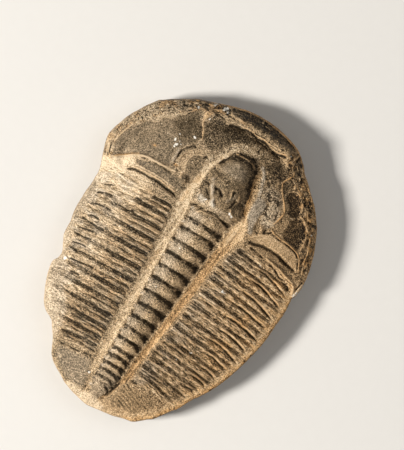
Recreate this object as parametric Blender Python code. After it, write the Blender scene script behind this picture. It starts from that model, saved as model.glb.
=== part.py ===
"""Trilobite fossil: one loose stone, back upwards, lying on its flat calcite underside.

The back starts as a flat grid. Each grid row is laid along a body segment, the outer rows
are pulled out to the outline, and the vertices are then lifted to the relief of the head
shield, the thirteen thoracic rings with their ribs, and the tail shield. The edge is
extruded down to the underside, which is one flat face.

Frame: metres, +Y towards the head, +X to the right seen from above, +Z up. The origin is
the centre of the bounding box at its base. Shape values are millimetres from a datum on
the thorax, and become metres when the stone is fitted to its driving dimensions.
"""

import math

import bmesh
import bpy

# Driving dimensions, metres
LENGTH = 0.0369
WIDTH = 0.0270
HEIGHT = 0.0068
MILLIMETRES = 1000.0

# Heights above the underside, millimetres
RIM_TOP = 2.8
RIM_WIDEST = 2.0
UNDERCUT_HEIGHT = 0.6
PLEURA_TOP = 5.1

# The vault of the back: how far in from the rim it levels off, and how fast it rises there
DOME_REACH = 8.5
DOME_RISE_BODY = 1.45
DOME_RISE_HEAD = 2.1
DOME_HEAD_START = 3.0
DOME_HEAD_SPAN = 8.0

# Insets of the edge rings from the widest outline, millimetres
RIM_TOP_INSET = 0.16
UNDERCUT_INSET = 0.22
BASE_INSET = 0.75

# Edges that bend more than this stay sharp, degrees
SHARP_ANGLE = 60.0

# Grid of the back
PLEURA_COLUMNS = 11
FURROW_COLUMNS = 2
AXIS_COLUMNS = 8
HEAD_ROWS = 26
ROWS_PER_SEGMENT = 4
TAIL_ROWS = 10
BULGE_POWER = 1.3

# Relief of the rings, the axial furrows and the ribs, millimetres
RING_DEPTH = 0.30
RING_FULL_HEIGHT = 0.6
AXIAL_FURROW_DEPTH = 0.12
FURROW_FULL_HEIGHT = 0.7
RIB_DEPTH = 0.26
TAIL_RIB_SHARE = 0.5
RIB_EDGE_GAP = 0.4
RIB_FADE = 1.4
RIB_START = 0.5

# Relief of the head shield's raised border and the furrow inside it, millimetres
BORDER_HEIGHT = 0.28
BORDER_INSET = 1.1
BORDER_HALF_WIDTH = 0.75
BORDER_FURROW_DEPTH = 0.25
BORDER_FURROW_INSET = 2.35
BORDER_FURROW_HALF_WIDTH = 0.5
HEAD_REAR = 3.6
HEAD_BLEND = 1.2
LINE_EDGE_FADE = 0.5

# How the ribs turn back outwards, millimetres: on the left near the edge, on the right evenly
AXIS_X = -0.5
LEFT_BEND = 0.75
LEFT_BEND_START = 8.5
LEFT_BEND_SPAN = 3.8
RIGHT_SLOPE = 0.055
RIGHT_SLOPE_START = 2.5
RIGHT_CURVE = 0.012
RIGHT_CURVE_START = 7.0
MARGIN_X = (-13.0, 12.0)

# The axis: y of the front furrow of each thoracic segment and of the tail shield
RING_FURROWS = (4.35, 3.2, 1.6, 0.1, -1.5, -3.1, -4.65, -6.2, -7.75, -9.2, -10.5, -11.75, -12.75,
                -13.65)
TAIL_FURROWS = (-14.55, -15.35, -16.05)
OCCIPITAL_FURROW = 5.85
GLABELLA_FRONT = 13.4
AXIS_END = -18.0
ARC_LIFT = 0.12
AXIS_FLATNESS = 1.2
AXIS_SOFTNESS = 1.3

# The outline, clockwise seen from above, from the front-left corner of the head shield
FRONT_EDGE = ((-12.0, 13.4), (-10.0, 14.8), (-8.0, 16.0), (-5.0, 17.1), (-2.0, 17.85),
              (1.0, 17.7), (3.0, 17.25), (4.8, 16.2), (6.0, 14.95), (7.6, 13.6), (8.7, 12.6))
RIGHT_EDGE = ((8.7, 12.6), (9.8, 11.3), (10.6, 10.0), (11.5, 8.0), (12.1, 5.8), (12.2, 3.5),
              (11.95, 2.8), (12.15, 1.0), (12.05, -1.0), (11.8, -4.0), (11.2, -6.8),
              (10.2, -9.8), (9.05, -12.0), (8.0, -14.0), (7.0, -15.3), (6.2, -16.5))
LEFT_EDGE = ((-12.0, 13.4), (-13.0, 11.95), (-14.0, 10.0), (-14.7, 7.3), (-14.2, 5.4),
             (-13.55, 3.7), (-13.4, 1.5), (-13.4, -1.0), (-13.0, -4.2), (-12.0, -6.6),
             (-12.4, -7.6), (-11.7, -10.2), (-10.9, -12.0), (-9.2, -13.1), (-8.0, -14.7),
             (-7.1, -16.4))
REAR_EDGE = ((-7.1, -16.4), (-5.0, -17.8), (-3.0, -18.65), (-0.6, -19.05), (2.2, -18.6),
             (4.5, -17.95), (6.2, -16.5))

# Across the body: y, then x of the outer and inner edge of the left axial furrow, and of
# the inner and outer edge of the right one
AXIS_STATIONS = (
    (-19.0, -1.5, -1.1, -0.2, 0.2),
    (-17.9, -1.6, -1.1, -0.2, 0.3),
    (-16.5, -2.4, -1.7, 0.6, 1.0),
    (-14.0, -3.0, -1.9, 0.95, 1.9),
    (-10.0, -3.3, -2.0, 1.1, 2.0),
    (-6.0, -3.5, -2.2, 1.4, 2.5),
    (-2.0, -3.6, -2.5, 1.6, 2.8),
    (2.0, -4.0, -2.7, 1.8, 3.1),
    (5.0, -4.5, -2.9, 2.0, 4.0),
    (8.0, -4.2, -3.2, 2.2, 3.1),
    (11.0, -3.9, -2.8, 1.45, 2.4),
    (13.3, -2.4, -1.1, 0.5, 1.6),
    (18.0, -2.2, -1.0, 0.4, 1.4),
)

# Height of the axis over the cheeks and ribs: y, millimetres
AXIS_HEIGHTS = ((-18.0, 0.0), (-17.5, 0.2), (-16.0, 0.45), (-12.0, 0.7), (-4.0, 0.95),
                (4.4, 1.05), (5.85, 0.95), (7.5, 1.2), (10.0, 1.35), (12.0, 1.0), (12.9, 0.5),
                (13.4, 0.0))

# Lines of the head shield: height (minus for a furrow), half-width, points
HEAD_LINES = (
    (-0.40, 0.35, ((-10.8, 5.3), (-7.0, 5.65), (-4.7, 5.5))),
    (0.30, 0.55, ((-10.3, 6.6), (-8.0, 6.8), (-5.0, 6.6))),
    (-0.30, 0.40, ((-12.5, 5.8), (-10.0, 7.3), (-8.0, 7.6), (-6.3, 7.7))),
    (-0.35, 0.35, ((-6.9, 14.9), (-6.6, 13.6), (-5.9, 12.5), (-6.6, 10.5), (-6.5, 8.5))),
    (0.45, 0.55, ((-4.3, 11.1), (-5.6, 10.7), (-6.3, 9.6), (-6.2, 8.4))),
    (0.40, 0.60, ((4.0, 4.6), (7.0, 4.95), (9.0, 4.7), (11.3, 3.8))),
    (-0.45, 0.35, ((4.3, 5.5), (6.5, 5.8), (8.5, 5.6), (10.9, 5.1))),
    (0.35, 0.60, ((4.6, 6.5), (7.0, 6.9), (9.0, 6.6), (10.6, 5.8))),
    (-0.35, 0.35, ((5.8, 7.9), (7.5, 7.7), (9.7, 7.3), (10.8, 6.0))),
    (-0.35, 0.35, ((4.8, 14.2), (4.3, 12.9), (5.6, 11.1), (6.1, 9.5))),
    (0.45, 0.55, ((2.6, 11.4), (4.3, 11.2), (5.3, 9.8), (5.2, 8.2))),
)


def smooth_curve(points, steps=6):
    """Points of a smooth curve through the given points, steps to each span."""
    ends = [points[0], *points, points[-1]]
    curve = []
    for a, b, c, d in zip(ends, ends[1:], ends[2:], ends[3:]):
        for step in range(steps):
            t = step / steps
            curve.append(tuple(
                0.5 * (2 * q + (r - p) * t + (2 * p - 5 * q + 4 * r - s) * t * t
                       + (3 * q - p - 3 * r + s) * t ** 3)
                for p, q, r, s in zip(a, b, c, d)))
    return curve + [points[-1]]


def read_table(table, key, column=1):
    """Value of a column of the table at a key, straight between the table's rows."""
    rows = sorted(table)
    if key <= rows[0][0]:
        return rows[0][column]
    for low, high in zip(rows, rows[1:]):
        if key <= high[0]:
            t = (key - low[0]) / max(high[0] - low[0], 1e-9)
            return low[column] + t * (high[column] - low[column])
    return rows[-1][column]


def ease(value):
    """Smooth step from 0 to 1."""
    t = min(max(value, 0.0), 1.0)
    return t * t * (3.0 - 2.0 * t)


def bell(away, half_width):
    """1 on a line, falling away smoothly to each side of it."""
    return math.exp(-(away / half_width) ** 2)


FRONT_OUTLINE = smooth_curve(FRONT_EDGE)
REAR_OUTLINE = smooth_curve(REAR_EDGE)
RIGHT_OUTLINE = smooth_curve(RIGHT_EDGE)
LEFT_OUTLINE = smooth_curve(LEFT_EDGE)
LEFT_BY_Y = [(y, x) for x, y in LEFT_OUTLINE]
RIGHT_BY_Y = [(y, x) for x, y in RIGHT_OUTLINE]
RIM = LEFT_OUTLINE[::-1] + FRONT_OUTLINE[1:] + RIGHT_OUTLINE[1:] + REAR_OUTLINE[::-1][1:]
CORNERS = {"front_left": FRONT_EDGE[0], "front_right": FRONT_EDGE[-1],
           "rear_left": REAR_EDGE[0], "rear_right": REAR_EDGE[-1]}


def segment_to_point(a, b, x, y):
    """Distance from the point x, y to the straight piece from a to b."""
    dx, dy = b[0] - a[0], b[1] - a[1]
    along = ((x - a[0]) * dx + (y - a[1]) * dy) / max(dx * dx + dy * dy, 1e-12)
    along = min(max(along, 0.0), 1.0)
    return math.hypot(x - a[0] - along * dx, y - a[1] - along * dy)


def distance_to_line(points, x, y):
    """Distance from the point x, y to an open line of points."""
    return min(segment_to_point(a, b, x, y) for a, b in zip(points, points[1:]))


def rib_bend(x):
    """How far a thoracic segment lies behind its ring, at x: ribs slope back outwards."""
    if x < AXIS_X:
        return -LEFT_BEND * ease((-LEFT_BEND_START - x) / LEFT_BEND_SPAN)
    sloped = RIGHT_SLOPE * max(x - RIGHT_SLOPE_START, 0.0)
    return -sloped - RIGHT_CURVE * max(x - RIGHT_CURVE_START, 0.0) ** 2


def row_stations():
    """Axis y of every grid row, from the front of the head shield to the tail's end."""
    front = FRONT_EDGE[0][1]
    head = [front + (RING_FURROWS[0] - front) * i / HEAD_ROWS for i in range(HEAD_ROWS)]
    thorax = [a + (b - a) * i / ROWS_PER_SEGMENT
              for a, b in zip(RING_FURROWS, RING_FURROWS[1:]) for i in range(ROWS_PER_SEGMENT)]
    last, rear = RING_FURROWS[-1], REAR_EDGE[0][1]
    tail = [last + (rear - last) * i / TAIL_ROWS for i in range(TAIL_ROWS + 1)]
    return head + thorax + tail


def row_bend(station, x):
    """Bend of a row at x: full on the thorax, and none at the two end rows."""
    head = ease((FRONT_EDGE[0][1] - station) / (FRONT_EDGE[0][1] - RING_FURROWS[0]))
    tail = ease((station - REAR_EDGE[0][1]) / (RING_FURROWS[-1] - REAR_EDGE[0][1]))
    return rib_bend(x) * head * tail


def across(station, column, left, right):
    """x of a grid column on a row that runs from the left to the right outline."""
    knots = [left, *(read_table(AXIS_STATIONS, station, i) for i in range(1, 5)), right]
    counts = (PLEURA_COLUMNS, FURROW_COLUMNS, AXIS_COLUMNS, FURROW_COLUMNS, PLEURA_COLUMNS)
    for start, end, count in zip(knots, knots[1:], counts):
        if column <= count:
            return start + (end - start) * column / count
        column -= count
    return right


def pulled_to_arc(x, y, station, left, right):
    """y of a grid point after the front and rear rows are pulled out to the outline."""
    share = (x - left) / (right - left)
    for ends, curve, start in ((("front_left", "front_right"), FRONT_OUTLINE, RING_FURROWS[0]),
                               (("rear_left", "rear_right"), REAR_OUTLINE, RING_FURROWS[-1])):
        (x0, y0), (x1, y1) = CORNERS[ends[0]], CORNERS[ends[1]]
        reach = (station - start) / (y0 - start)
        if reach > 0.0:
            bulge = read_table(curve, x0 + share * (x1 - x0)) - (y0 + share * (y1 - y0))
            y += bulge * reach ** BULGE_POWER + share * (y1 - y0) * reach
    return y


def plan_point(station, column):
    """Plan position of a grid point, millimetres."""
    left = read_table(LEFT_BY_Y, station + row_bend(station, MARGIN_X[0]))
    right = read_table(RIGHT_BY_Y, station + row_bend(station, MARGIN_X[1]))
    x = across(station, column, left, right)
    return x, pulled_to_arc(x, station + row_bend(station, x), station, left, right)


def wave(furrows, y):
    """Depth share at y of a row of furrows: 1 in a furrow, 0 on the crest between two."""
    for front, back in zip(furrows, furrows[1:]):
        if back <= y <= front:
            phase = (y - back) / (front - back)
            return 0.5 + 0.5 * math.cos(2.0 * math.pi * phase)
    return 0.0


def axis_relief(x, y):
    """Height that the rings, the glabella and the axial furrows add."""
    outer_left, left, right, outer_right = (
        read_table(AXIS_STATIONS, y, i) for i in range(1, 5))
    height = read_table(AXIS_HEIGHTS, y) if AXIS_END < y < GLABELLA_FRONT else 0.0
    off_centre = abs(x - (left + right) / 2.0) / ((right - left) / 2.0)
    if off_centre < 1.0:
        lift = height * math.cos(0.5 * math.pi * off_centre ** AXIS_FLATNESS) ** AXIS_SOFTNESS
        arc = y - ARC_LIFT * (1.0 - off_centre ** 2)
        furrows = (OCCIPITAL_FURROW, *RING_FURROWS, *TAIL_FURROWS)
        return lift - RING_DEPTH * wave(furrows, arc) * ease(height / RING_FULL_HEIGHT)
    furrow = AXIAL_FURROW_DEPTH * ease(height / FURROW_FULL_HEIGHT)
    if x < left:
        return -furrow * math.sin(math.pi * ease((x - outer_left) / (left - outer_left)))
    return -furrow * math.sin(math.pi * ease((outer_right - x) / (outer_right - right)))


def rib_relief(x, y, edge):
    """Depth of the furrows between the ribs beside the axis."""
    outer_left, outer_right = (read_table(AXIS_STATIONS, y, i) for i in (1, 4))
    beside = max(outer_left - x, x - outer_right)
    if beside <= 0.0:
        return 0.0
    fade = ease((edge - RIB_EDGE_GAP) / RIB_FADE) * ease(beside / RIB_START)
    straight = y - rib_bend(x)
    tail = TAIL_RIB_SHARE if straight < RING_FURROWS[-1] else 1.0
    return -RIB_DEPTH * tail * fade * wave((*RING_FURROWS, *TAIL_FURROWS), straight)


def head_relief(x, y, edge):
    """Relief of the head shield: raised border, its furrow, sutures, cheeks and eye lobes."""
    inside = ease((y - rib_bend(x) - HEAD_REAR) / HEAD_BLEND)
    border = BORDER_HEIGHT * bell(edge - BORDER_INSET, BORDER_HALF_WIDTH)
    furrow = BORDER_FURROW_DEPTH * bell(edge - BORDER_FURROW_INSET, BORDER_FURROW_HALF_WIDTH)
    lines = sum(height * bell(distance_to_line(points, x, y), width)
                for height, width, points in HEAD_LINES)
    return (border - furrow) * inside + lines


def back_height(x, y):
    """Height of the back over the underside at a plan point, millimetres."""
    edge = distance_to_line(RIM + RIM[:1], x, y)
    on_head = ease((y - DOME_HEAD_START) / DOME_HEAD_SPAN)
    rise = DOME_RISE_BODY + (DOME_RISE_HEAD - DOME_RISE_BODY) * on_head
    dome = 1.0 - (1.0 - min(edge / DOME_REACH, 1.0)) ** rise
    height = RIM_TOP + (PLEURA_TOP - RIM_TOP) * dome
    height += axis_relief(x, y) + rib_relief(x, y, edge)
    return height + head_relief(x, y, edge) * ease(edge / LINE_EDGE_FADE)


def lay_out_back(bm):
    """A grid over the back, lifted to its relief; returns its boundary edges."""
    stations = row_stations()
    columns = 2 * (PLEURA_COLUMNS + FURROW_COLUMNS) + AXIS_COLUMNS
    rows = len(stations) - 1
    bmesh.ops.create_grid(bm, x_segments=columns, y_segments=rows, size=1.0)
    for vert in bm.verts:
        column = round((vert.co.x + 1.0) / 2.0 * columns)
        row = round((1.0 - vert.co.y) / 2.0 * rows)
        x, y = plan_point(stations[row], column)
        on_edge = column in (0, columns) or row in (0, rows)
        vert.co = (x, y, RIM_TOP if on_edge else back_height(x, y))
    return [edge for edge in bm.edges if edge.is_boundary]


def inset_ring(verts, inset, height):
    """Shrink a ring of the edge towards the stone's middle, and set its height."""
    half_width, half_length = WIDTH * MILLIMETRES / 2.0, LENGTH * MILLIMETRES / 2.0
    middle_x = (min(v.co.x for v in verts) + max(v.co.x for v in verts)) / 2.0
    middle_y = (min(v.co.y for v in verts) + max(v.co.y for v in verts)) / 2.0
    for vert in verts:
        vert.co.x -= (vert.co.x - middle_x) * inset / half_width
        vert.co.y -= (vert.co.y - middle_y) * inset / half_length
        vert.co.z = height


def drop_edge(bm, edges, inset, height):
    """Extrude the open edge down to a new ring; returns the new ring's edges."""
    grown = bmesh.ops.extrude_edge_only(bm, edges=edges)["geom"]
    verts = [item for item in grown if isinstance(item, bmesh.types.BMVert)]
    inset_ring(verts, inset, height)
    ring = set(verts)
    return [item for item in grown if isinstance(item, bmesh.types.BMEdge)
            and item.is_boundary and set(item.verts) <= ring]


def fit_to_size(bm):
    """Scale and place the stone: driving dimensions, box centred on the origin, base at 0."""
    sizes = (WIDTH, LENGTH, HEIGHT)
    lows = [min(v.co[i] for v in bm.verts) for i in range(3)]
    highs = [max(v.co[i] for v in bm.verts) for i in range(3)]
    for vert in bm.verts:
        for i, size in enumerate(sizes):
            share = (vert.co[i] - lows[i]) / (highs[i] - lows[i])
            vert.co[i] = size * (share if i == 2 else share - 0.5)


def stone_material():
    """Dark grey-brown fossil shell with tan sediment, taken as one mean colour."""
    material = bpy.data.materials.new("fossil_stone")
    material.use_nodes = True
    shader = material.node_tree.nodes["Principled BSDF"]
    shader.inputs["Base Color"].default_value = (0.16, 0.115, 0.075, 1.0)
    shader.inputs["Roughness"].default_value = 0.72
    shader.inputs["Metallic"].default_value = 0.0
    return material


def build_fossil(collection):
    """The whole fossil as one closed solid."""
    bm = bmesh.new()
    open_edge = lay_out_back(bm)
    top_ring = list({v for edge in open_edge for v in edge.verts})
    widest = drop_edge(bm, open_edge, 0.0, RIM_WIDEST)
    inset_ring(top_ring, RIM_TOP_INSET, RIM_TOP)
    undercut = drop_edge(bm, widest, UNDERCUT_INSET, UNDERCUT_HEIGHT)
    base = drop_edge(bm, undercut, BASE_INSET - UNDERCUT_INSET, 0.0)
    bmesh.ops.contextual_create(bm, geom=base)
    fit_to_size(bm)
    bmesh.ops.recalc_face_normals(bm, faces=bm.faces)
    mesh = bpy.data.meshes.new("trilobite_fossil")
    bm.to_mesh(mesh)
    bm.free()
    mesh.materials.append(stone_material())
    mesh.shade_smooth()
    mesh.set_sharp_from_angle(angle=math.radians(SHARP_ANGLE))
    fossil = bpy.data.objects.new("trilobite_fossil", mesh)
    collection.objects.link(fossil)
    return fossil


def main():
    """Clear the scene and build the fossil."""
    for item in list(bpy.data.objects):
        bpy.data.objects.remove(item)
    collection = bpy.data.collections.new("Trilobite fossil")
    bpy.context.scene.collection.children.link(collection)
    build_fossil(collection)


main()
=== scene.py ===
"""Looks of a loose trilobite fossil: fine relief, stone finishes, floor, lights and camera.

The anatomy is laid out in millimetres from a datum on the thorax, +y to the head and +x to
the right seen from above. It becomes metres when the mesh is fitted to the solid's box.
Each part of the animal lifts or cuts the surface and paints masks on it: tone (dark shell
to pale sediment, with painted shade and painted highlights in places), rust, mineral, the
grey mask (grey stone, and painted sheen on slopes that face the key lamp), rough, fibre,
crack and crest. The stone's finish turns the masks into colour, roughness and bump.
"""

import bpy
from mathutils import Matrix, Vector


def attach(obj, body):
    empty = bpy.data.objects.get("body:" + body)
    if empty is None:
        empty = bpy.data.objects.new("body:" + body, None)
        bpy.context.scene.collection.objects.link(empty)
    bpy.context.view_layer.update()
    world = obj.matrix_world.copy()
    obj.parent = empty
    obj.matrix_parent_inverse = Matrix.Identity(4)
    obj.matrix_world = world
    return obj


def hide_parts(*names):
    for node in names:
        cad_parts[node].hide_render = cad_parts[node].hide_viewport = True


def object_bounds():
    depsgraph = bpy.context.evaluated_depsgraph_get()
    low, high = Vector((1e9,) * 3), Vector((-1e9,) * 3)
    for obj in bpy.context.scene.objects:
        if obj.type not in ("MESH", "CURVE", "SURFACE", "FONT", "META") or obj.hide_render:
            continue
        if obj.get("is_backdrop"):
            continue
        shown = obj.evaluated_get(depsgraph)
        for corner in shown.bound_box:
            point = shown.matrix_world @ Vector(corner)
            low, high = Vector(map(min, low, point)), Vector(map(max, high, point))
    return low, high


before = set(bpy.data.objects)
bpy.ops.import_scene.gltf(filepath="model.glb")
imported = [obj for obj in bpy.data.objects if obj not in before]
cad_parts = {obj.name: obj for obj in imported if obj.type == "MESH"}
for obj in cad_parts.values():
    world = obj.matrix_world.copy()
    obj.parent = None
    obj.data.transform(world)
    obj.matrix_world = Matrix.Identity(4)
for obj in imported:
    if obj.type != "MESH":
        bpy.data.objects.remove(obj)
CAD_LOW, CAD_HIGH = (tuple(corner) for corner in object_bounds())

import logging
import math
from dataclasses import dataclass, field
from enum import Enum
from typing import Any

import bmesh
import bpy
import numpy as np
from mathutils import Vector

LOG = logging.getLogger("trilobite")
MM = 0.001
NODE = "trilobite_fossil"
BODY = "root"
MASKS = ("tone", "rust", "mineral", "cool", "rough", "fibre", "crack", "crest")
FACE = 0.999  # beyond this a vertex of the block, which spans -1 to 1, is on a face of it
Point = complex  # a plan point: x across the body, y j along it, millimetres
Pair = tuple[float, float]
Array = np.ndarray
Socket = bpy.types.NodeSocket


class Tone(Enum):
    """How pale the stone is, from open cracks to fresh sediment."""

    INK = 0.03
    SHELL = 0.20
    SLATE = 0.34
    WORN = 0.48
    BUFF = 0.62
    SEDIMENT = 0.78
    CREAM = 0.95


INK, SHELL, SLATE, WORN, BUFF, SEDIMENT, CREAM = Tone  # short names for the tables of marks


# ------------------------------------------------------------------ plane geometry


def ease(value: Array) -> Array:
    """Smooth step from 0 to 1."""
    t = np.clip(value, 0.0, 1.0)
    return t * t * (3.0 - 2.0 * t)


def stripe(off: Array, middle: float, width: Any, sharpness: int = 2) -> Array:
    """Soft stripe: 1 at its middle, and fading over its half width."""
    return np.exp(-((off - middle) / width) ** sharpness)


def smooth_path(points: tuple[Point, ...], steps: int = 5) -> Array:
    """Lay a smooth curve through points.

    Args:
        points: The points that the curve passes through.
        steps: Straight pieces between two points.

    Returns:
        The curve's points, one row each.
    """
    plan = np.array([points[0], *points, points[-1]])
    knots = np.stack([plan.real, plan.imag], 1)
    t = np.linspace(0.0, 1.0, steps, endpoint=False)[:, None]
    pieces = []
    for a, b, c, d in zip(knots, knots[1:], knots[2:], knots[3:]):
        pieces.append(0.5 * (2 * b + (c - a) * t + (2 * a - 5 * b + 4 * c - d) * t ** 2
                             + (3 * b - a - 3 * c + d) * t ** 3))
    return np.vstack([*pieces, knots[-1:]])


def path_distance(path: Array, x: Array, y: Array) -> tuple[Array, Array]:
    """Measure how far plan points are from a path.

    Args:
        path: The path's points, one row each.
        x: Plan positions across the body.
        y: Plan positions along the body.

    Returns:
        The distance of each plan point, and how far along the path its nearest point is.
    """
    nearest = np.full(x.shape, np.inf)
    along = np.zeros(x.shape)
    start = 0.0
    for (ax, ay), (bx, by) in zip(path, path[1:]):
        dx, dy = bx - ax, by - ay
        length = max(math.hypot(dx, dy), 1e-9)
        t = np.clip(((x - ax) * dx + (y - ay) * dy) / length ** 2, 0.0, 1.0)
        away = np.hypot(x - ax - t * dx, y - ay - t * dy)
        closer = away < nearest
        nearest = np.where(closer, away, nearest)
        along = np.where(closer, start + t * length, along)
        start += length
    return nearest, along


def inside_loop(loop: Array, x: Array, y: Array) -> Array:
    """Tell which plan points lie inside a closed loop.

    Args:
        loop: The loop's points, the last joined to the first.
        x: Plan positions across the body.
        y: Plan positions along the body.

    Returns:
        True for each plan point inside the loop.
    """
    inside = np.zeros(x.shape, bool)
    for (ax, ay), (bx, by) in zip(loop, np.roll(loop, -1, axis=0)):
        if ay != by:
            crosses = (ay > y) != (by > y)
            inside ^= crosses & (x < (bx - ax) * (y - ay) / (by - ay) + ax)
    return inside


@dataclass(frozen=True)
class Grain:
    """A smooth random field over the plan, the same on every run."""

    seed: int
    cells: int = 256

    def field(self, x: Array, y: Array, size: float, stretch: float = 1.0) -> Array:
        """Read the field.

        Args:
            x: Plan positions across the body.
            y: Plan positions along the body.
            size: Size of a grain along y, millimetres.
            stretch: How many times longer the grains are across the body.

        Returns:
            Values between -1 and 1.
        """
        table = np.random.default_rng(self.seed).uniform(-1.0, 1.0, (self.cells, self.cells))
        across, up = x / (size * stretch) + self.cells / 2, y / size + self.cells / 2
        i, j = np.floor(across).astype(int), np.floor(up).astype(int)
        s, t = ease(across - i), ease(up - j)
        i0, i1, j0, j1 = (k % self.cells for k in (i, i + 1, j, j + 1))
        low = table[i0, j0] * (1 - s) + table[i1, j0] * s
        high = table[i0, j1] * (1 - s) + table[i1, j1] * s
        return low * (1 - t) + high * t

    def layers(self, x: Array, y: Array, size: float, octaves: int = 3,
               stretch: float = 1.0) -> Array:
        """Sum of fields, each half as large and half as strong as the one before."""
        return sum(Grain(self.seed + k).field(x, y, size / 2 ** k, stretch) / 2 ** k
                   for k in range(octaves)) / (2.0 - 2.0 ** (1 - octaves))


# ------------------------------------------------------------------ marks on the stone


@dataclass(frozen=True)
class Line:
    """A groove, ridge or streak that follows a smooth path."""

    points: tuple[Point, ...]
    width: float
    height: float = 0.0
    tone: Tone = INK
    strength: float = 0.9
    broken: float = 0.0
    rust: float = 0.0
    cool: float = 0.0
    rough: float = 0.0
    soft: bool = False
    taper: float = 0.35


@dataclass(frozen=True)
class Patch:
    """An area with its own tone and roughness inside a closed outline."""

    points: tuple[Point, ...]
    tone: Tone
    strength: float = 0.85
    soft: float = 0.12
    ragged: float = 0.12
    height: float = 0.0
    rust: float = 0.0
    cool: float = 0.0
    rough: float = 0.5
    crack: float = 0.0
    lumps: float = 0.0
    crumbs: float = 0.0


@dataclass(frozen=True)
class Speck:
    """A round grain or pit, by its centre and radius."""

    x: float
    y: float
    radius: float
    height: float = 0.04
    mineral: float = 1.0
    rust: float = 0.0


@dataclass
class Relief:
    """Heights and masks of the back at a set of plan points."""

    x: Array
    y: Array
    edge: Array
    # narrower lines are drawn crisply, in masks no narrower than the mesh can hold
    finest_area: float = 0.24
    finest_line: float = 0.115
    line_cover: float = 0.8
    waver: float = 0.07
    height: Array = field(init=False)
    tone: Array = field(init=False)
    rust: Array = field(init=False)
    mineral: Array = field(init=False)
    cool: Array = field(init=False)
    rough: Array = field(init=False)
    fibre: Array = field(init=False)
    crack: Array = field(init=False)
    crest: Array = field(init=False)

    def __post_init__(self) -> None:
        """Start flat, with worn shell everywhere, and set how marks waver."""
        (self.height, self.rust, self.mineral, self.cool, self.fibre, self.crack,
         self.crest) = (np.zeros_like(self.x) for _ in range(7))
        self.tone = np.full_like(self.x, WORN.value)
        self.rough = np.full_like(self.x, 0.5)
        self.waver_x = self.x + self.waver * Grain(11).layers(self.x, self.y, 0.9)
        self.waver_y = self.y + self.waver * Grain(17).layers(self.x, self.y, 0.9)
        self.crumble = 1.0 + 0.35 * Grain(23).layers(self.x, self.y, 0.35, 2)
        self.breaks = Grain(29).layers(self.x, self.y, 0.6, 2)

    def toward(self, tone: float, amount: Array, where: Any = slice(None)) -> None:
        """Pull the tone towards a value, by an amount from 0 to 1."""
        self.tone[where] += (tone - self.tone[where]) * np.clip(amount, 0.0, 1.0)

    def at_least(self, where: Any = slice(None), **masks: Array) -> None:
        """Raise masks, by name, to at least the values given."""
        for name, value in masks.items():
            mask = getattr(self, name)
            mask[where] = np.maximum(mask[where], value)

    def near(self, path: Array, reach: float) -> Array:
        """Indices of the plan points within reach of a path's box."""
        (x0, y0), (x1, y1) = path.min(0) - reach, path.max(0) + reach
        return np.flatnonzero((self.waver_x > x0) & (self.waver_x < x1)
                              & (self.waver_y > y0) & (self.waver_y < y1))

    def draw(self, line: Line) -> None:
        """Cut or raise a line, and colour it."""
        path = smooth_path(line.points)
        at = self.near(path, 3.0 * line.width)
        away, along = path_distance(path, self.waver_x[at], self.waver_y[at])
        total = np.hypot(*np.diff(path, axis=0).T).sum()
        ends = ease(np.minimum(along, total - along) / line.taper + 0.2)
        gaps = 1.0 - line.broken * ease(0.5 - 1.6 * self.breaks[at])
        mark = stripe(away, 0.0, line.width, 3) * ends * self.crumble[at] * gaps
        self.height[at] += line.height * mark
        thin = line.width < self.finest_area and not line.soft
        if thin and line.tone in (INK, SHELL, SEDIMENT, CREAM):
            spread = max(1.15 * line.width, self.finest_line)
            wide = min(1.25 * line.strength, 1.1) * stripe(away, 0.0, spread) * ends * gaps
            self.at_least(at, **{"crack" if line.tone in (INK, SHELL) else "crest": wide})
        else:
            self.toward(line.tone.value, line.strength * mark, at)
        cover = np.clip(mark, 0.0, 1.0)
        self.rust[at] += (line.rust - self.rust[at]) * self.line_cover * cover
        self.at_least(at, cool=line.cool * mark, rough=line.rough * mark)

    def fill(self, patch: Patch) -> None:
        """Colour an area, and raise or lower it."""
        loop = smooth_path((*patch.points, patch.points[0]))[:-1]
        at = self.near(loop, patch.soft + patch.ragged)
        x, y = self.waver_x[at], self.waver_y[at]
        away, _ = path_distance(np.vstack([loop, loop[:1]]), x, y)
        depth = np.where(inside_loop(loop, x, y), away, -away)
        depth += patch.ragged * Grain(31).layers(x, y, 0.5)
        mark = ease(0.5 + depth / (2.0 * patch.soft))
        self.toward(patch.tone.value, patch.strength * mark, at)
        uneven = patch.lumps * mark * Grain(37).layers(x, y, 0.7)
        self.height[at] += patch.height * mark + uneven
        self.tone[at] += 1.2 * uneven
        for mask, value in ((self.rust, patch.rust), (self.cool, patch.cool),
                            (self.rough, patch.rough)):
            mask[at] += (value - mask[at]) * mark
        for mask in (self.crack, self.crest):
            mask[at] *= 1.0 - patch.strength * mark
        self.at_least(at, crack=patch.crack * mark)
        if patch.crumbs:
            self.crumble_up(patch.crumbs * mark, 75, at)

    def crumble_up(self, amount: Array, seed: int, where: Any = slice(None)) -> None:
        """Break a surface into pale crumbs and dark pits between them."""
        grit = 2.5 * Grain(seed).layers(self.x[where], self.y[where], 0.3, 2)
        self.at_least(where, crest=amount * ease(grit - 0.35), crack=amount * ease(-grit - 0.35))

    def dot(self, speck: Speck) -> None:
        """Set a mineral grain or a knob on the surface."""
        away = np.hypot(self.waver_x - speck.x, self.waver_y - speck.y)
        spot = np.exp(-(away / speck.radius * (1.3 + 1.2 * self.breaks)) ** 2)
        self.height += speck.height * spot
        self.at_least(mineral=speck.mineral * spot, rust=speck.rust * spot)
        self.toward(BUFF.value, speck.rust * spot)


# ------------------------------------------------------------------ anatomy


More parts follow.
